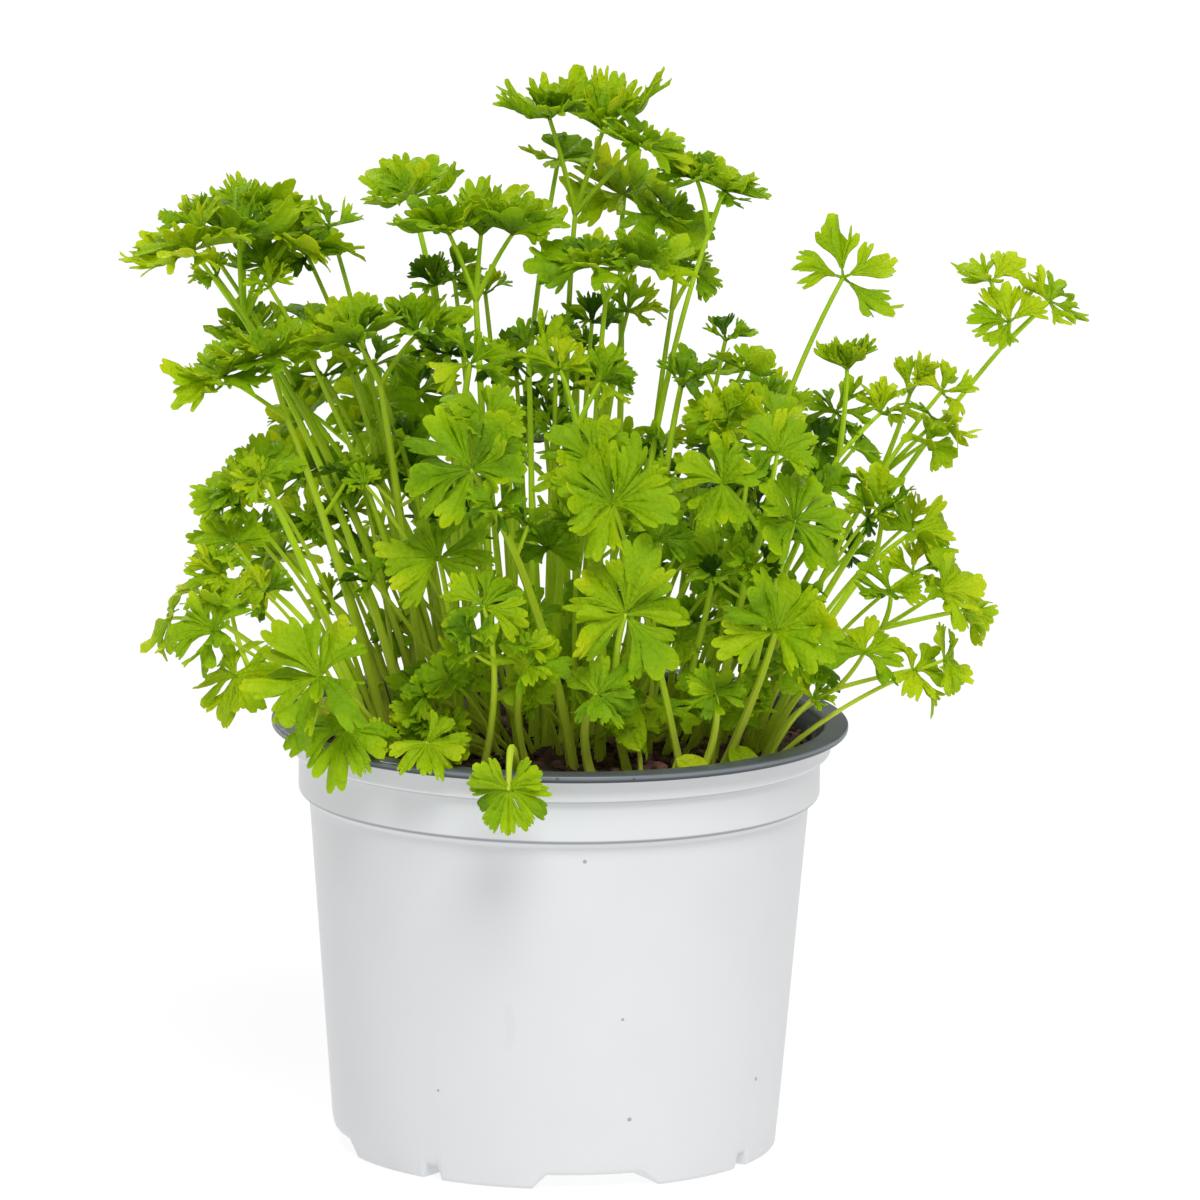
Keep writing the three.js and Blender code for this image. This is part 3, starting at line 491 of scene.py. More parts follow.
class Shape:
    """One piece being made: points, faces, each face's finish, and four painted values for each point."""

    def __init__(self):
        self.points, self.faces, self.finishes, self.paint = [], [], [], []
        self.count = 0

    def add(self, points, faces, finish, paint):
        """finish is one number or one for each face, and paint one set of values or one for each point."""
        self.points.append(np.asarray(points, dtype=float))
        self.paint.append(np.broadcast_to(np.asarray(paint, dtype=float), (len(points), 4)))
        self.faces += [[k + self.count for k in face] for face in faces]
        self.finishes += np.broadcast_to(finish, len(faces)).tolist()
        self.count += len(points)

    def build(self, name, materials, sharp=50):
        mesh = bpy.data.meshes.new(name)
        mesh.from_pydata((np.concatenate(self.points) * MM).tolist(), [], self.faces)
        for material in materials:
            mesh.materials.append(material)
        mesh.polygons.foreach_set("material_index", self.finishes)
        paint = mesh.attributes.new("paint", "FLOAT_COLOR", "POINT")
        paint.data.foreach_set("color", np.concatenate(self.paint).astype(np.float32).ravel())
        mesh.polygons.foreach_set("use_smooth", [True] * len(self.faces))
        mesh.update()
        mesh.set_sharp_from_angle(angle=math.radians(sharp))
        piece = bpy.data.objects.new(name, mesh)
        bpy.context.scene.collection.objects.link(piece)
        return piece


def grid_faces(rows, columns, closed=False):
    """Quads of a grid of points stored row by row."""
    faces = []
    for i in range(rows - 1):
        for j in range(columns if closed else columns - 1):
            here, right = i * columns + j, i * columns + (j + 1) % columns
            faces.append([here, here + columns, right + columns, right])
    return faces


def add_tube(shape, path, radii, sides, finish, paint, rib=0.0):
    """A closed tube round the path, ribbed by rib times its radius. paint has three values for each ring."""
    path = np.asarray(path)
    along = np.gradient(path, axis=0)
    along /= np.linalg.norm(along, axis=1)[:, None]
    side = np.array([1.0, 0.0, 0.0])
    turns = np.arange(sides) * 2 * np.pi / sides
    ridge = np.cos(turns * sides / 2)
    points, painted = [], []
    for middle, way, radius, (first, third, fourth) in zip(path, along, radii, paint):
        side = unit(side - way * np.dot(side, way))
        reach = radius * (1 + rib * ridge)
        points.append(middle + np.outer(reach * np.cos(turns), side)
                      + np.outer(reach * np.sin(turns), np.cross(way, side)))
        painted.append(np.column_stack([np.full(sides, first), ridge * 0.5 + 0.5,
                                        np.full(sides, third), np.full(sides, fourth)]))
    faces = [face[::-1] for face in grid_faces(len(path), sides, closed=True)]
    faces.append(list(range(sides))[::-1])
    faces.append([(len(path) - 1) * sides + k for k in range(sides)])
    shape.add(np.concatenate(points), faces, finish, np.concatenate(painted))


def leaflet_lobes(length, half, lobes, draw):
    """The reach and angle of each lobe, drawn in the same order as in the solids."""
    found = []
    for lobe in range(lobes):
        share = 2 * lobe / (lobes - 1) - 1
        reach = length * (1 - LOBE_FALL * share * share) * within(LOBE_RANGE, next(draw))
        found.append((reach, share * half))
        if lobe < lobes - 1:
            next(draw)
    return found


def lobe_columns(reach, cuts, style, places, rng):
    """One lobe's columns: place across it, radius, cut, place in the tooth, and the tooth's sign."""
    teeth = int(rng.integers(style["teeth"][0], style["teeth"][1] + 1))
    depth = within(style["tooth_cut"], rng.random())
    skew = rng.uniform(-0.1, 0.1)
    width = (1 - 2 * TOOTH_MARGIN) / teeth
    sign = rng.choice((-1, 1))
    spots = [(LOBE_SIDE, LOBE_SIDE_PLACE, 0, 1)]
    for tooth in range(teeth):
        middle = TOOTH_MARGIN + width * (tooth + 0.5)
        tall = rng.uniform(0.95, 1.05)
        spots += [(middle + width / 2 * place, place, sign, tall) for place in places]
        if tooth < teeth - 1:
            spots.append((middle + width / 2, 1.0, 0, 1))
        sign = -sign
    spots.append((1 - LOBE_SIDE, LOBE_SIDE_PLACE, 0, 1))
    columns = []
    for turn, in_tooth, sign, tall in spots:
        across = -math.cos(math.pi * turn)
        foot = within(cuts, turn)
        top = reach * tall * (1 + skew * across)
        radius = foot + (top - foot) * math.sin(math.pi * turn) ** style["blunt"]
        radius *= 1 - depth * (1 - math.sqrt(1 - TOOTH_ROUNDNESS * in_tooth**2))
        columns.append((across, max(radius, foot * 1.02), foot, in_tooth, sign))
    return columns


def leaflet_columns(size, lobes, widest, style, places, rng):
    """For each column: its lobe, the lobe's middle and half angle, and what lobe_columns gives."""
    step = lobes[1][1] - lobes[0][1]
    outer = min(step / 2, max(widest - lobes[-1][1], step * 0.3))
    edges = [lobes[0][1] - outer]
    for k, (a, b) in enumerate(zip(lobes, lobes[1:])):
        moved = MIDDLE_LOBE_SHARE * np.sign(2 * k + 2 - len(lobes)) + rng.uniform(-0.1, 0.1)
        edges.append((a[1] + b[1]) / 2 + moved * step)
    edges.append(lobes[-1][1] + outer)
    cuts = [size * within(style["cut"], rng.random()) for _ in edges]
    columns = []
    for index, (reach, _) in enumerate(lobes):
        middle, half = (edges[index] + edges[index + 1]) / 2, (edges[index + 1] - edges[index]) / 2
        sides = (cuts[index], cuts[index + 1])
        if index == 0:
            columns.append((0, middle, half, -1.0, sides[0], sides[0], LOBE_SIDE_PLACE, 0))
        for column in lobe_columns(reach, sides, style, places, rng):
            columns.append((index, middle, half, *column))
        columns.append((index, middle, half, 1.0, sides[1], sides[1], LOBE_SIDE_PLACE, 0))
    return [np.array(values, dtype=float) for values in zip(*columns)]


def blade_faces(rows, columns):
    """Faces of a thin closed blade whose upper points come first, row by row, then the lower ones."""
    total = rows * columns
    front = grid_faces(rows, columns)
    faces = front + [[total + k for k in quad[::-1]] for quad in front]
    border = list(range(columns)) + [i * columns + columns - 1 for i in range(1, rows)]
    border += [(rows - 1) * columns + j for j in range(columns - 2, -1, -1)]
    border += [i * columns for i in range(rows - 2, 0, -1)]
    return faces + [[a, b, total + b, total + a] for a, b in zip(border, border[1:] + border[:1])]


def add_blade(shape, surface, half, painted):
    """The surface, a grid of points, thickened by half on both sides, with an underside painted as such."""
    face = np.cross(np.gradient(surface, axis=0), np.gradient(surface, axis=1))
    length = np.linalg.norm(face, axis=-1)[..., None]
    usual = unit(face.reshape(-1, 3).sum(axis=0))
    face = np.where(length > 1e-9, face / np.maximum(length, 1e-9), usual)
    under = painted.copy()
    under[..., 2] = 1
    points = np.concatenate([(surface + face * half).reshape(-1, 3), (surface - face * half).reshape(-1, 3)])
    paint = np.concatenate([painted.reshape(-1, 4), under.reshape(-1, 4)])
    shape.add(points, blade_faces(*surface.shape[:2]), 0, paint)


def blade_lift(style, part, out, angle, in_lobe, lobe, sign, count, rng):
    """How far a blade's points stand off its plane, in shares of its length. out is past the cuts only."""
    sides = (angle / abs(angle).max()) ** 2
    fold = rng.uniform(*style["fold"], count)[lobe]
    wave = rng.uniform(*style["lobe_wave"], count) * np.where(np.arange(count) % 2, 1, -1)
    wave = wave * rng.choice((-1, 1))
    curl = rng.uniform(-0.12, 0.12, count)[lobe]
    jitter = rng.uniform(-0.5, 0.5, len(lobe))
    lift = fold * np.abs(in_lobe) * smooth(0.05, 0.6, part)
    lift = lift + within(style["arch"], rng.random()) * 4 * part * (1 - part)
    lift = lift - within(style["recurve"], rng.random()) * part**2.5
    lift = lift + wave[lobe] * out**1.3 + curl * out**2
    lift = lift + style["tooth_wave"] * (sign + jitter) * np.clip((part - 0.66) / 0.34, 0, None)
    ripple = np.sin(np.radians(angle) * rng.uniform(4, 7) + rng.uniform(0, 6) + 5 * part)
    lift = lift + style["ripple"] * ripple * part**2
    return lift + within(style["cup"], rng.random()) * sides * part**2


def blade_paint(tone, lift, part, in_lobe, in_tooth, lobe, count, rng):
    """Tone, vein, underside and part of the way out, for each point of a blade."""
    vein = np.exp(-((in_lobe / 0.12) ** 2)) * (1.0 - part)
    tooth_vein = 0.15 * np.exp(-((in_tooth / 0.22) ** 2)) * smooth(0.25, 0.6, part) * (1.0 - part)
    vein = np.clip(np.maximum(vein, tooth_vein), 0, 1) * smooth(0, 0.2, part)
    tones = np.clip(tone + rng.uniform(*LOBE_TONES, count)[lobe] * smooth(0.2, 0.6, part), 0, 1)
    # Painted light and shade: raised spots are lighter, hollows darker.
    tones = np.clip(tones + PAINTED_HOLLOW_SHADE * (lift - lift.mean(axis=1, keepdims=True)), 0, 1)
    return np.stack([tones, vein, np.zeros(vein.shape), np.clip(part, 0, 1)], axis=-1)


def add_leaflet(shape, hub, axes, size, lobes, widest, style, rng, tone):
    """One fan-shaped, cut and ruffled leaflet as a thin closed blade. axes: along, across, off its face."""
    along, across, normal = axes
    places, rows = FINE_GRAIN if size > FINE_LEAFLET else MIDDLE_GRAIN if size > TINY_LEAFLET else TINY_GRAIN
    columns = leaflet_columns(size, lobes, widest, style, places, rng)
    lobe, middle, half, in_lobe, radius, foot, in_tooth, sign = columns
    lobe = lobe.astype(int)
    count = len(lobes)
    reach = np.array(rows)[:, None] * radius[None, :]
    part = reach / size
    out = np.clip((part - foot / size) / (1 - foot / size), 0, None)
    swell = rng.uniform(*style["swell"], count)[lobe]
    angle = middle + half * in_lobe * (1 + swell * smooth(0, 0.6, out))
    spread = np.radians(angle) * (style["flare"] + (1 - style["flare"]) * smooth(0, FAN_OPEN, part))
    lift = blade_lift(style, part, out, angle, in_lobe, lobe, sign, count, rng)
    foot_width = LEAFLET_FOOT * (angle / abs(angle).max()) * (1 - smooth(0, 0.5, part))
    surface = hub + grid_of(reach * np.cos(spread), along)
    surface = surface + grid_of(reach * np.sin(spread) + foot_width, across) + grid_of(size * lift, normal)
    surface[..., 2] -= size * style["droop"] * part**2
    painted = blade_paint(tone, lift, part, in_lobe, in_tooth, lobe, count, rng)
    thin = (LEAF_THICKNESS / 2) * (1 - EDGE_THINNING * np.clip(part, 0, 1))
    add_blade(shape, surface, thin[..., None], painted)


def add_spray(shape, spray, arriving, style_name, tone, rng):
    """The leaflets round one hub, laid out by the same rule as in the solids."""
    x, y, z, length, azimuth, elevation, cup, count = spray
    draw = draws((x + 200) * 1009 + (y + 200) * 9176 + z * 131)
    hub = vector((x, y, z))
    facing = direction(azimuth, elevation)
    forward = across_face(arriving, facing)
    rise = math.radians(cup)
    turns = SPREADS[count]
    half_spacing = math.radians(abs(turns[1] - turns[0]) / 2)
    widest = math.degrees(math.atan(math.tan(half_spacing) * math.cos(rise)))
    half = min(widest - LEAFLET_GAP, LEAFLET_HALF_ANGLE)
    lobe_count = SMALL_LOBES[count] if length < SMALL_LEAFLET else LOBES[count]
    style = STYLES[style_name]
    for turn in sorted(turns):
        swung = turn + (next(draw) - 0.5) * LEAFLET_SWING
        outward = turned_about(forward, facing, swung)
        size = length * (1 - SIDE_LEAFLET_FALL * abs(turn)) * within(LEAFLET_RANGE, next(draw))
        lobes = leaflet_lobes(size, half, lobe_count, draw)
        if lobe_count == 2:
            lobes.insert(1, ((lobes[0][0] + lobes[1][0]) / 2 * MIDDLE_LOBE_REACH, 0.0))
        spread = widest + style["lap"]
        place_leaflet(shape, hub, outward, facing, rise, size, lobes, spread, style, rng, tone)
    if style_name == "goblet" and (length > INNER_LEAST_LENGTH or cup > INNER_LEAST_CUP):
        add_inner_leaflets(shape, hub, facing, forward, length, cup, tone, rng)


def place_leaflet(shape, hub, outward, facing, rise, size, lobes, widest, style, rng, tone):
    """A leaflet on a short stalk from the hub, rising by rise from the plane across facing."""
    rise = rise + math.radians(within(style["lean"], rng.random()))
    along = outward * math.cos(rise) + facing * math.sin(rise)
    normal = facing * math.cos(rise) - outward * math.sin(rise)
    normal = turned_about(normal, along, rng.uniform(-1, 1) * style["roll"])
    stem = size * within(style["stem"], rng.random())
    foot = hub + along * stem
    lobes = [(reach - stem, angle) for reach, angle in lobes]
    tone = float(np.clip(tone + rng.uniform(-1, 1) * style["tone"], 0, 1))
    axes = (along, np.cross(normal, along), normal)
    add_leaflet(shape, foot, axes, size - stem, lobes, widest, style, rng, tone)
    path = [hub - along * 0.2, hub + along * stem * 0.5, foot + along]
    add_tube(shape, path, LEAF_STEM_RADII, LEAF_STEM_SIDES, 0, [(tone * 0.7, 0, 0.2)] * len(path))


def add_inner_leaflets(shape, hub, facing, forward, length, cup, tone, rng):
    """Shorter, steeper leaflets in the middle of a large spray, which make it a ruffled tuft."""
    first = rng.uniform(0, 360)
    for k in range(INNER_COUNT):
        outward = turned_about(forward, facing, first + k * 360 / INNER_COUNT + rng.uniform(-15, 15))
        rise = math.radians(min(cup + rng.uniform(*INNER_STEEPER), INNER_STEEPEST))
        size = length * rng.uniform(*INNER_SHARE)
        lobes = [(size * rng.uniform(0.9, 1.05), angle) for angle in INNER_LOBES]
        shade = tone + rng.uniform(*INNER_TONES)
        style = STYLES["goblet"]
        place_leaflet(shape, hub, outward, facing, rise, size, lobes, INNER_SPREAD, style, rng, shade)


def soil_top(x, y):
    """The height of the soil's surface, as in the solids."""
    radius = math.hypot(x, y)
    angle = math.atan2(x, -y)
    crumbs = sum(math.sin(radius * along + turns * angle) * height for along, turns, height in CRUMB_WAVES)
    dome = SOIL_CROWN * (1 - (radius / NECK_RADIUS) ** 2)
    return SOIL_LEVEL + dome + crumbs * max(0, 1 - radius / NECK_RADIUS)


def rooted(root, end, lean=STALK_LEAN, rise=STALK_RISE):
    """The curve of a stalk from the soil at root to end, as its start, control point and end."""
    start = vector((*root, soil_top(*root)))
    end = vector(end)
    return start, start + (end - start) * vector((lean, lean, rise)), end


def main_stalk(root, end):
    start, control, end = rooted(root, end)
    if root in ARCHES:
        return start, vector(ARCHES[root]), end
    x, y = root
    sway = vector((math.sin(x * 12.9 + y * 78.2), math.cos(x * 7.7 + y * 3.1), 0))
    return start, control + sway * STALK_BOW, end


def stalk_light(x, y):
    """How light the stalk from (x, y) is, from 0 to 1: it varies from stalk to stalk, and those at the back
    are painted darker, as painted shade.
    """
    varied = 0.5 + 0.5 * math.sin(x * 37.7 + y * 11.3)
    return float(np.clip(0.35 + 0.75 * varied - 0.3 * smooth(-5, 15, y), 0, 1))


def add_stem(shape, curve, radii, light, form):
    """A ribbed stem along a curve, in the form of STALK or BRANCH."""
    start, control, end = curve
    lean = unit(control - start)
    shares = np.linspace(0, 1, form["rings"])
    path = [start - lean * depth for depth, _ in form["roots"]] + [bend(*curve, t) for t in shares]
    radius = [radii[0] * share for _, share in form["roots"]]
    radius += [within(radii, t) * (1 + form["swell"] * math.exp(-20 * t)) for t in shares]
    length, share = form["tip"]
    path.append(end + bend_slope(*curve, 1.0) * length)
    radius.append(radii[1] * share)
    paint = [(light, np.clip((point[2] - SOIL_LEVEL) / STALK_COLOUR_HEIGHT, 0, 1), 0) for point in path]
    add_tube(shape, path, radius, form["sides"], 1, paint, STALK_RIB)


def spray_style(spray):
    x, y, z, _, azimuth, elevation, _, _ = spray
    if y < ROUND_FRONT and z < ROUND_TOP:
        return "round"
    if elevation < BROAD_ELEVATION and z < HIGH_FOOT and abs(azimuth) < 90:
        return "broad"
    low, high = CURLY_MIDDLE_HEIGHTS
    if (abs(x) < CURLY_MIDDLE and low < z < high) or (x > CURLY_RIGHT and CURLY_RIGHT_FOOT < z < HIGH_FOOT):
        return "curly"
    return "open" if x > OPEN_RIGHT and z > HIGH_FOOT else "goblet"


def leaf_tone(hub):
    x, _, z = hub
    tone = LEAF_TONE
    for place, (start, end, change) in ((z, LOW_TONE), (x, RIGHT_TONE), (x, LEFT_TONE)):
        tone += change * smooth(start, end, place)
    return float(np.clip(tone, 0, 1))


def add_side_sprays(shape, curve, rng):
    """Small leaflets on short branches, in pairs low down on the leafy part of a stalk."""
    if curve[2][2] - curve[0][2] < SIDE_LEAST_HEIGHT:
        return
    first = rng.uniform(0, 360)
    for pair in range(SIDE_PAIRS):
        share = within(SIDE_SHARES, (pair + rng.uniform(0.2, 0.8)) / SIDE_PAIRS)
        foot, slope = bend(*curve, share), bend_slope(*curve, share)
        across = unit(np.cross(slope, vector((math.cos(first + pair), math.sin(first + pair), 0.1))))
        for way in (1, -1):
            if rng.random() < SIDE_SKIPPED:
                continue
            outward = unit(across * way + slope * rng.uniform(0.4, 0.9))
            reach = rng.uniform(*SIDE_BRANCH)
            hub = foot + outward * reach + vector((0, 0, 0.15 * reach))
            if abs(hub[0]) > SIDE_REACH or hub[2] > SIDE_TOP:
                continue
            bow = foot + outward * reach * 0.5
            add_stem(shape, (foot, bow, hub), SIDE_RADII, 0.5, BRANCH)
            size = rng.uniform(*SIDE_LENGTH)
            facing = unit(outward * 0.5 + vector((0, -0.25, 1)))
            turn = (math.degrees(math.atan2(facing[0], -facing[1])), math.degrees(math.asin(facing[2])))
            spray = (*np.round(hub, 2), size, *turn, rng.uniform(*SIDE_CUP), 3)
            add_spray(shape, spray, unit(hub - bow), "curly", leaf_tone(hub) + SIDE_TONE, rng)


def make_frond(index, root, fork, sprays):
    rng = np.random.default_rng(FROND_SEED + index)
    shape = Shape()
    start, control, end = main_stalk(root, fork or sprays[0][:3])
    light = stalk_light(*root)
    radii = vector(STALK_RADII) * rng.uniform(*STALK_GIRTHS)
    add_stem(shape, (start, control, end), radii, light, STALK)
    for spray in sprays:
        arriving = unit(end - control)
        hub = vector(spray[:3])
        if fork:
            leaving = end - arriving * BRANCH_OVERLAP
            bow = (leaving + hub) / 2 + arriving * BRANCH_BOW
            add_stem(shape, (leaving, bow, hub), BRANCH_RADII, light, BRANCH)
            arriving = unit(hub - bow)
        tone = leaf_tone(hub) + rng.uniform(*FROND_TONES)
        add_spray(shape, spray, arriving, spray_style(spray), tone, rng)
    add_side_sprays(shape, (start, control, end), rng)
    return shape


def make_fronds(materials):
    for index, (root, fork, sprays) in enumerate(FRONDS):
        name = f"frond_{index + 1:02d}"
        piece = make_frond(index, root, fork, sprays).build(f"{name}_leaf", materials)
        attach(piece, "root")
        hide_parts(name)


def add_loose_leaf(shape, root, spray, style, tone, rng):
    """A spray on a thin stalk of its own."""
    start, control, hub = rooted(root, spray[:3])
    tall = style == "curly" and hub[2] > TALL_LOOSE_HEIGHT
    radii = TALL_LOOSE_RADII if tall else LOOSE_RADII
    add_stem(shape, (start, control, hub), radii, stalk_light(*root) * LOOSE_LIGHT, STALK)
    add_spray(shape, spray, unit(hub - control), style, tone + rng.uniform(*LOOSE_TONES), rng)


def build_loose(shape, name, materials):
    piece = shape.build(name, materials)
    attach(piece, "root")


def make_curly_leaves(materials):
    """Leaves that fill the clump between the fronds."""
    shape = Shape()
    rng = np.random.default_rng(CURLY_SEED)
    for x, y, *spray in CURLY_LEAVES:
        broad = spray[3] > BROAD_LEAVES[0] and spray[5] < BROAD_LEAVES[1]
        tone = leaf_tone(spray[:3]) + CURLY_TONE
        add_loose_leaf(shape, (x, y), spray, "broad" if broad else "curly", tone, rng)
    build_loose(shape, "curly_leaves", materials)


def drawn_leaves(rng):
    """Leaves drawn inside the clump, cluster by cluster: style, root and spray of each."""
    found = []
    for style, number, middle, spread, lengths in INNER_CLUSTERS:
        for _ in range(number):
            x, y, z = vector(middle) + vector(spread) * rng.uniform(-1, 1, 3)
            root = vector((x, y)) * rng.uniform(0.35, 0.6) + rng.uniform(-5, 5, 2)
            azimuth = rng.uniform(-30, 30) + x / 2
            spray = (round(x, 1), round(y, 1), round(z, 1), rng.uniform(*lengths), azimuth,
                     rng.uniform(28, 68), rng.uniform(0, 24), int(rng.integers(3, 5)))
            found.append((style, root, spray))
    return found


def make_inner_leaves(materials):
    shape = Shape()
    rng = np.random.default_rng(INNER_SEED)
    start, end, change = INNER_PAINTED_SHADE
    for style, root, spray in drawn_leaves(rng):
        # Painted shade: leaves further back in the clump are darker.
        tone = leaf_tone(spray[:3]) - change * smooth(start, end, spray[1])
        add_loose_leaf(shape, root, spray, style, tone, rng)
    build_loose(shape, "inner_leaves", materials)


def add_seed_leaf(shape, hub, along, normal, length, width, tone):
    """A plain oval blade, slightly cupped along its middle."""
    share = np.linspace(0, 1, 9)
    places = np.linspace(-1, 1, 9)[None, :]
    half_width = width / 2 * np.sqrt(np.clip(1 - (2 * share - 1) ** 2, 0, 1)) * (0.75 + 0.35 * share) + 0.15
    part = np.repeat(share[:, None], 9, axis=1)
    side = half_width[:, None] * places
    lift = length * (0.10 * places**2 * half_width[:, None] * 2 / width - 0.12 * part**2)
    surface = hub + grid_of(length * part, along) + grid_of(side, np.cross(normal, along))
    surface = surface + grid_of(lift, normal)
    vein = np.exp(-((places / 0.14) ** 2)) * (1 - 0.7 * part)
    painted = np.stack([np.full(part.shape, tone), vein, np.zeros(part.shape), part * 0.4], axis=-1)
    add_blade(shape, surface, LEAF_THICKNESS * 0.6, painted)


def make_seed_leaves(materials):
    shape = Shape()
    for root, foot, azimuth, elevation, turn, length, width, tone in SEED_LEAVES:
        start, control, hub = rooted(root, foot, *SEED_LEAF_BEND)
        add_stem(shape, (start, control, hub), SEED_LEAF_RADII, SEED_LEAF_LIGHT, STALK)
        normal = direction(azimuth, elevation)
        along = turned_about(across_face(unit(hub - control), normal), normal, turn)
        add_seed_leaf(shape, hub - along * 0.3, along, normal, length, width, tone)
    build_loose(shape, "seed_leaves", materials)


def foot_height(azimuth):
    """How far the rim of the underside is lifted at an azimuth. Notches and channels have sloping sides."""
    place = (azimuth + 45) % 90 - 45
    for low, inner_low, inner_high, high in (CHANNEL, NOTCH):
        if low < place < high:
            rising = (place - low) / (inner_low - low)
            falling = (high - place) / (high - inner_high)
            return CHANNEL_HEIGHT * float(np.clip(min(rising, falling), 0, 1))
    return 0.0


def rounded(corners):
    """A profile through corners given as (radius, height, rounding): each corner is cut off by a curve."""
    points = []
    for k, (r, z, rounding) in enumerate(corners):
        here = vector((r, z))
        if rounding == 0:
            points.append(here)
            continue
        before, after = vector(corners[k - 1][:2]) - here, vector(corners[k + 1][:2]) - here
        a = here + unit(before) * min(rounding, np.linalg.norm(before) * 0.49)
        b = here + unit(after) * min(rounding, np.linalg.norm(after) * 0.49)
        points += [bend(a, here, b, t) for t in np.linspace(0, 1, CORNER_STEPS)]
    return np.array(points)


def pot_profile(azimuth):
    """From the middle of the underside, out and up to the lip, and down to the middle of the floor."""
    foot = foot_height(azimuth)
    floor = CHANNEL_HEIGHT + SHEET
    lip_foot = POT_HEIGHT - LIP_DEPTH
    return rounded((
        (0, 0, 0), (CENTRE_FOOT_RADIUS, 0, 0.8), (CENTRE_FOOT_RADIUS + CENTRE_FOOT_TAPER, foot, 0.8),
        (BASE_RADIUS, foot, 1.1), (BASE_RADIUS + WALL_FOOT_RISE, WALL_FOOT, 0),
        (NECK_RADIUS - 0.1, NECK_HEIGHT - 0.2, 0.4), (BAND_RADIUS, BAND_FOOT - 0.7, 0.7),
        (BAND_RADIUS, COLLAR_FOOT - 0.9, 0.4), (COLLAR_RADIUS, COLLAR_FOOT - 0.3, 0.7),
        (COLLAR_RADIUS + 0.1, lip_foot, 0.4), (LIP_RADIUS - 0.2, lip_foot, 0.6),
        (LIP_RADIUS, POT_HEIGHT - 0.1, 1.0), (COLLAR_RADIUS - SHEET + 0.2, POT_HEIGHT, 0.8),
        (BAND_RADIUS - SHEET, COLLAR_FOOT - 1.6, 0.6),
        (BAND_RADIUS - SHEET, BAND_FOOT, 0.6), (NECK_RADIUS - SHEET, NECK_HEIGHT, 0.5),
        (BASE_RADIUS - SHEET, floor, 1.0), (0, floor, 0)))


def make_pot(outer, inner):
    """The profile turned round the axis, following the notches and channels. Its inside and lip are grey."""
    azimuths = sorted({*np.linspace(-45, 315, POT_COLUMNS, endpoint=False).round(3),
                       *(edge + 90 * quarter for quarter in range(4) for edge in (*NOTCH, *CHANNEL))})
    profiles = np.array([pot_profile(azimuth)[1:-1] for azimuth in azimuths])
    radii, heights = profiles[..., 0], profiles[..., 1]
    angles = np.radians(azimuths)[:, None]
    columns, rows = heights.shape
    points = np.stack([radii * np.sin(angles), -radii * np.cos(angles), heights], axis=-1).reshape(-1, 3)
    middles = [[0, 0, 0], [0, 0, CHANNEL_HEIGHT + SHEET]]
    faces = grid_faces(columns, rows)
    faces += [[(columns - 1) * rows + k, k, k + 1, (columns - 1) * rows + k + 1] for k in range(rows - 1)]
    faces = [face[::-1] for face in faces]
    for k in range(columns):
        after = (k + 1) % columns
        faces.append([len(points), after * rows, k * rows])
        faces.append([len(points) + 1, k * rows + rows - 1, after * rows + rows - 1])
    grey = np.argmax(heights[0] > GREY_FROM)
    inside = [*(k % rows >= grey for k in range(len(points))), False, True]
    shape = Shape()
    finishes = [int(all(inside[k] for k in face)) for face in faces]
    shape.add(np.concatenate([points, middles]), faces, finishes, 0)
    piece = shape.build("pot_wall", [outer, inner], sharp=40)
    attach(piece, "root")
    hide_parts("pot")


def edge_fall(radius):
    """How far the soil sinks towards the wall."""
    return SOIL_EDGE_FALL * smooth(SOIL_EDGE - SOIL_EDGE_WIDTH, SOIL_EDGE, radius)


def make_soil(material):
    """A lumpy surface that closes against the pot's wall, with loose crumbs pressed into it."""
    shape = Shape()
    rng = np.random.default_rng(SOIL_SEED)
    angles = np.arange(SOIL_COLUMNS) * 2 * np.pi / SOIL_COLUMNS
    points, painted = [], []
    for radius in np.linspace(1.2, SOIL_EDGE, SOIL_RINGS):
        fade = 1 - 0.6 * smooth(SOIL_EDGE - 2 * SOIL_EDGE_WIDTH, SOIL_EDGE, radius)
        for angle in angles:
            x, y = around(radius, angle)
            rough = noise.fractal(Vector((x / SOIL_LUMP, y / SOIL_LUMP, 4.0)), 0.8, 2.2, 4)
            rough += 0.8 * noise.cell(Vector((x / SOIL_GRAIN, y / SOIL_GRAIN, 2.0))) - 0.4
            points.append((x, y, soil_top(x, y) + rough * fade * SOIL_RELIEF - edge_fall(radius)))
            painted.append((0.5 + 0.5 * rough, 0, 0, 0))
    for radius, height in SOIL_BODY:
        points += [(*around(radius, angle), height) for angle in angles]
        painted += [(0.3, 0, 0, 0)] * SOIL_COLUMNS
    rows = SOIL_RINGS + len(SOIL_BODY)
    faces = grid_faces(rows, SOIL_COLUMNS, closed=True)
    faces.append(list(range(SOIL_COLUMNS))[::-1])
    faces.append([(rows - 1) * SOIL_COLUMNS + k for k in range(SOIL_COLUMNS)])
    shape.add(points, faces, 0, painted)
    add_crumbs(shape, rng)
    piece = shape.build("soil_surface", [material], sharp=60)
    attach(piece, "root")
    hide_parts("soil")


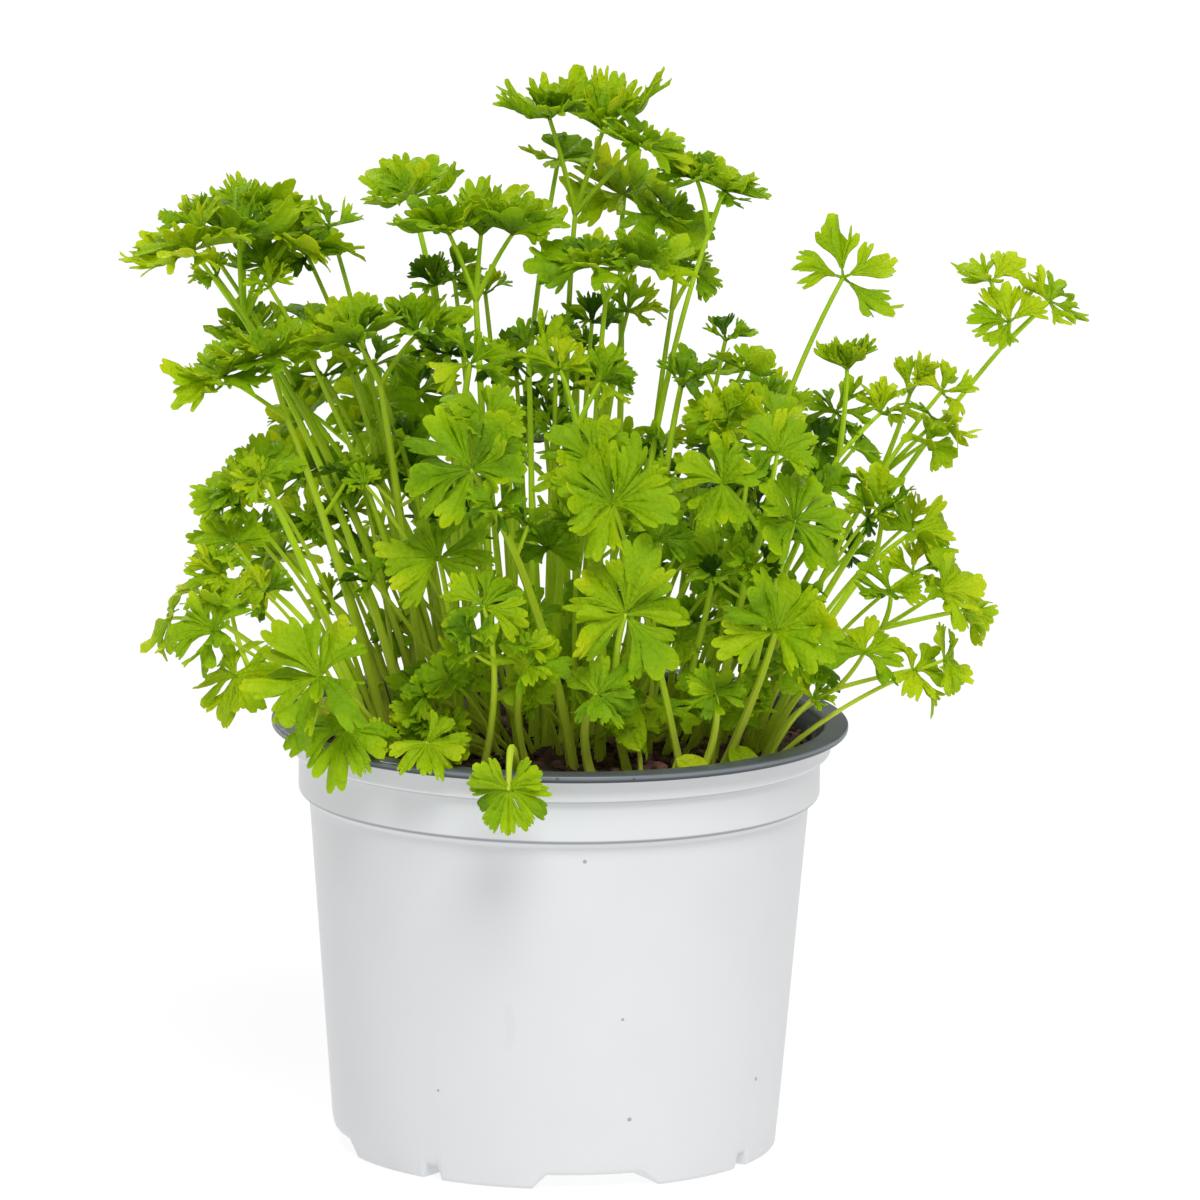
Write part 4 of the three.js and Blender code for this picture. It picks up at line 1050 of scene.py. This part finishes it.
def lump(rng, fine):
    """The corners and faces of a stone-like lump about 1 across: an uneven icosahedron, split if fine."""
    golden = (1 + 5**0.5) / 2
    points = [unit(np.roll((a, b * golden, 0), k)) for k in range(3) for b in (1, -1) for a in (-1, 1)]
    faces = [(0, 11, 5), (0, 5, 1), (0, 1, 7), (0, 7, 10), (0, 10, 11), (1, 5, 9), (5, 11, 4),
             (11, 10, 2), (10, 7, 6), (7, 1, 8), (3, 9, 4), (3, 4, 2), (3, 2, 6), (3, 6, 8),
             (3, 8, 9), (4, 9, 5), (2, 4, 11), (6, 2, 10), (8, 6, 7), (9, 8, 1)]
    middles = {}

    def between(a, b):
        key = (min(a, b), max(a, b))
        if key not in middles:
            middles[key] = len(points)
            points.append(unit(points[a] + points[b]))
        return middles[key]

    finer = [] if fine else faces
    for a, b, c in faces if fine else []:
        ab, bc, ca = between(a, b), between(b, c), between(c, a)
        finer += [(a, ab, ca), (b, bc, ab), (c, ca, bc), (ab, bc, ca)]
    return np.array(points) * (0.5 + 0.12 * rng.standard_normal(len(points)))[:, None], finer


def add_crumbs(shape, rng):
    for _ in range(CRUMB_COUNT):
        radius = SOIL_EDGE * math.sqrt(rng.random()) * 0.985
        x, y = around(radius, rng.uniform(0, 2 * math.pi))
        size = rng.uniform(*(SMALL_CRUMB if rng.random() < SMALL_CRUMBS else LARGE_CRUMB))
        points, faces = lump(rng, size > LARGE_CRUMB[0])
        size = min(size, 2 * (SOIL_EDGE - radius) + 0.6)
        points *= vector((rng.uniform(0.7, 1.5), rng.uniform(0.6, 1.0), rng.uniform(0.45, 0.8))) * size
        heading = rng.uniform(0, 2 * math.pi)
        c, s = math.cos(heading), math.sin(heading)
        points = points @ np.array([[c, s, 0], [-s, c, 0], [0, 0, 1]])
        points += vector((x, y, soil_top(x, y) - edge_fall(radius) + size * 0.12))
        shape.add(points, faces, 0, (rng.uniform(0.1, 1.0), rng.random(), 0, 0))


class Nodes:
    """A short way to write a material. Its textures lie in the piece's own coordinates, in metres."""

    def __init__(self, name):
        self.material = bpy.data.materials.new(name)
        self.material.use_nodes = True
        self.tree = self.material.node_tree
        self.tree.nodes.clear()
        paint = self.add("Attribute", attribute_name="paint").outputs
        self.painted = self.add("SeparateColor", {"Color": paint["Color"]}).outputs
        self.part = paint["Alpha"]
        self.where = self.add("TexCoord").outputs["Object"]
        self.height = self.add("SeparateXYZ", {0: self.where}).outputs[2]

    def add(self, kind, inputs=None, **settings):
        node = self.tree.nodes.new("ShaderNode" + kind)
        for key, value in settings.items():
            setattr(node, key, value)
        for key, value in (inputs or {}).items():
            if isinstance(value, bpy.types.NodeSocket):
                self.tree.links.new(value, node.inputs[key])
            else:
                node.inputs[key].default_value = value
        return node

    def calc(self, operation, a, b, clamp=False):
        return self.add("Math", {0: a, 1: b}, operation=operation, use_clamp=clamp).outputs[0]

    def plus(self, a, b, clamp=False):
        return self.calc("ADD", a, b, clamp)

    def times(self, a, b, clamp=False):
        return self.calc("MULTIPLY", a, b, clamp)

    def varied(self, value, texture, amount):
        return self.plus(value, self.times(self.calc("SUBTRACT", texture, 0.5), amount))

    def mix(self, share, a, b, blend="MIX"):
        a, b = (c if isinstance(c, bpy.types.NodeSocket) else (*c, 1) for c in (a, b))
        node = self.add("Mix", {0: share, 6: a, 7: b}, data_type="RGBA", blend_type=blend)
        return node.outputs[2]

    def ramp(self, value, stops):
        node = self.add("ValToRGB", {"Fac": value})
        elements = node.color_ramp.elements
        while len(elements) < len(stops):
            elements.new(0.5)
        for element, (place, colour) in zip(elements, stops):
            element.position = place
            element.color = (*colour, 1)
        return node.outputs["Color"]

    def banded(self, colour, bands):
        """The colour with level bands round it, of painted shade and highlight."""
        for level, width, depth, tint in bands:
            off = self.calc("DIVIDE", self.calc("SUBTRACT", self.height, level * MM), width * MM)
            band = self.calc("SUBTRACT", 1.0, self.times(off, off), clamp=True)
            colour = self.mix(self.times(band, depth), colour, tint)
        return colour

    def noise(self, scale, detail=3.0, roughness=0.5, flatten=None):
        """Noise, drawn out along z where flatten is below 1."""
        where = self.where
        if flatten:
            where = self.add("Mapping", {"Vector": where, "Scale": (1.0, 1.0, flatten)}).outputs[0]
        inputs = {"Vector": where, "Scale": scale, "Detail": detail, "Roughness": roughness}
        return self.add("TexNoise", inputs).outputs["Fac"]

    def cells(self, scale):
        """The distance to the middle of the nearest cell."""
        return self.add("TexVoronoi", {"Vector": self.where, "Scale": scale}).outputs["Distance"]

    def bump(self, height, strength, distance):
        inputs = {"Height": height, "Strength": strength, "Distance": distance * MM}
        return self.add("Bump", inputs).outputs["Normal"]

    def skin(self, colour, roughness, gloss, normal):
        inputs = {"Base Color": colour, "Roughness": roughness, "Specular IOR Level": gloss}
        return self.add("BsdfPrincipled", {**inputs, "Normal": normal}).outputs[0]

    def lit_through(self, skin, share, inputs):
        """The skin with a share of light coming through it from behind."""
        through = self.add("BsdfTranslucent", inputs).outputs[0]
        return self.add("MixShader", {0: share, 1: skin, 2: through}).outputs[0]

    def end(self, shader):
        self.add("OutputMaterial", {"Surface": shader})
        return self.material


def leaf_material():
    n = Nodes("parsley_leaf")
    tone, vein, under = n.painted[:3]
    shade = n.varied(n.varied(tone, n.noise(70, 2.0), 0.5), n.noise(260, 4.0, 0.6), 0.35)
    # Painted light: each leaflet is lighter towards its rim, where light comes through it, and darker near
    # its hub.
    edge = n.plus(n.times(n.calc("POWER", n.part, 4.0), 0.30), -0.08)
    shade = n.plus(shade, edge, clamp=True)
    face = n.ramp(shade, LEAF_COLOURS)
    # Undersides are half painted shade, with pale veins.
    back = n.mix(n.times(vein, 0.35), n.mix(0.5, face, UNDERSIDE_SHADE_COLOUR), VEIN_COLOUR)
    # Upper sides get painted shade along their vein creases.
    colour = n.mix(under, n.mix(n.times(vein, 0.14), face, CREASE_SHADE_COLOUR), back)
    height = n.plus(n.times(n.cells(900), 0.35), n.times(vein, -0.3))
    normal = n.bump(n.plus(height, n.times(n.noise(420, 2.0), 0.9)), 0.9, 1.1)
    glow = n.mix(n.times(vein, 0.25), n.ramp(shade, GLOW_COLOURS), UNDERSIDE_SHADE_COLOUR)
    skin = n.skin(colour, 0.5, 0.2, normal)
    return n.end(n.lit_through(skin, LEAF_TRANSLUCENCY, {"Color": glow, "Normal": normal}))


def stalk_material():
    n = Nodes("parsley_stalk")
    light, rib, height = n.painted[:3]
    streaks = n.noise(900, flatten=0.06)
    colour = n.ramp(n.varied(height, n.noise(45, 2.0), 0.5), STALK_COLOURS)
    colour = n.mix(n.times(n.times(rib, n.plus(streaks, 0.1)), 0.5, clamp=True), colour, RIB_COLOUR)
    # Each stalk's lightness, which holds painted shade for the stalks at the back.
    colour = n.mix(1.0, colour, n.ramp(light, STALK_LIGHTS), "MULTIPLY")
    skin = n.skin(colour, 0.42, 0.18, n.bump(streaks, 0.3, 0.3))
    return n.end(n.lit_through(skin, STALK_TRANSLUCENCY, {"Color": colour}))


def soil_material():
    n = Nodes("moist_potting_soil")
    shade = n.plus(n.times(n.painted[0], 0.6), n.times(n.noise(420, 5.0, 0.65), 0.6))
    normal = n.bump(n.noise(1500, 5.0, 0.7), 0.8, 0.6)
    return n.end(n.skin(n.ramp(shade, SOIL_COLOURS), 0.78, 0.35, normal))


def outer_pot_material():
    n = Nodes("white_pot_plastic")
    cloud = n.noise(22)
    scuffs = n.times(n.calc("GREATER_THAN", n.noise(160, 6.0, 0.7, flatten=0.25), 0.68), 0.12)
    specks = n.times(n.calc("LESS_THAN", n.cells(70), 0.035), 0.55)
    colour = n.mix(specks, n.mix(scuffs, n.ramp(cloud, POT_WHITES), POT_SCUFF), POT_SPECK)
    roughness = n.plus(0.30, n.times(cloud, 0.14))
    # The bands are painted shade under the pot's steps and lip.
    return n.end(n.skin(n.banded(colour, POT_SHADE_LINES), roughness, 0.45, n.bump(n.noise(90, 2.0), 0.12, 0.6)))


def inner_pot_material():
    n = Nodes("grey_pot_plastic")
    fine, broad = n.noise(320, 6.0, 0.7), n.noise(28)
    wear = n.times(n.calc("GREATER_THAN", n.times(fine, broad), 0.34), 0.45)
    near_lip = n.plus(n.times(n.height, 200.0), -18.2, clamp=True)
    # Inside, a grey deepened into painted shade. On the lip, bands of painted shade and highlight.
    colour = n.mix(near_lip, INSIDE_SHADED_GREY, n.banded(n.ramp(broad, LIP_GREYS), LIP_SHADE_AND_HIGHLIGHT))
    colour = n.mix(wear, colour, WORN_GREY)
    colour = n.mix(n.times(n.calc("LESS_THAN", n.cells(240), 0.12), 0.5), colour, GRIT_COLOUR)
    return n.end(n.skin(colour, 0.38, 0.5, n.bump(fine, 0.15, 0.4)))


def make_floor():
    n = Nodes("pale_floor")
    inputs = {"Base Color": (FLOOR_COLOUR, FLOOR_COLOUR, FLOOR_COLOUR, 1), "Roughness": 1.0,
              "Specular IOR Level": 0.0, "Emission Color": (1, 1, 1, 1), "Emission Strength": FLOOR_GLOW}
    size = FLOOR_HALF * MM
    mesh = bpy.data.meshes.new("studio_floor")
    corners = [(-size, -size, 0), (size, -size, 0), (size, size, 0), (-size, size, 0)]
    mesh.from_pydata(corners, [], [(0, 1, 2, 3)])
    mesh.materials.append(n.end(n.add("BsdfPrincipled", inputs).outputs[0]))
    floor = bpy.data.objects.new("studio_floor", mesh)
    bpy.context.scene.collection.objects.link(floor)


def turn_to(thing, way, roll=0):
    """Points a lamp or camera along way and links it to the scene."""
    thing.rotation_mode = "QUATERNION"
    thing.rotation_quaternion = way.to_track_quat("-Z", "Y") @ Quaternion((0, 0, 1), math.radians(roll))
    bpy.context.scene.collection.objects.link(thing)


def make_studio():
    world = bpy.data.worlds.new("studio")
    world.use_nodes = True
    background = world.node_tree.nodes["Background"]
    background.inputs["Color"].default_value = (1, 1, 1, 1)
    background.inputs["Strength"].default_value = WORLD_STRENGTH
    bpy.context.scene.world = world
    bpy.context.scene.view_settings.view_transform = "Standard"
    for name, strength, width, place in SUNS:
        lamp = bpy.data.lights.new(name, "SUN")
        lamp.energy = strength
        lamp.angle = math.radians(width)
        turn_to(bpy.data.objects.new(name, lamp), -Vector(place))
    make_floor()


def make_camera():
    lens = bpy.data.cameras.new("camera")
    lens.lens = CAMERA_LENS
    lens.sensor_width = CAMERA_FILM
    lens.clip_start, lens.clip_end = vector(CAMERA_RANGE) * MM
    camera = bpy.data.objects.new("camera", lens)
    elevation = math.radians(CAMERA_ELEVATION)
    height = CAMERA_AIM_HEIGHT + CAMERA_DISTANCE * math.sin(elevation)
    place = Vector((0, -CAMERA_DISTANCE * math.cos(elevation), height))
    camera.location = place * MM
    turn_to(camera, Vector(CAMERA_TARGET) - place, CAMERA_ROLL)
    bpy.context.scene.camera = camera


make_camera()
make_studio()
greens = [leaf_material(), stalk_material()]
make_pot(outer_pot_material(), inner_pot_material())
make_soil(soil_material())
make_fronds(greens)
make_curly_leaves(greens)
make_inner_leaves(greens)
make_seed_leaves(greens)
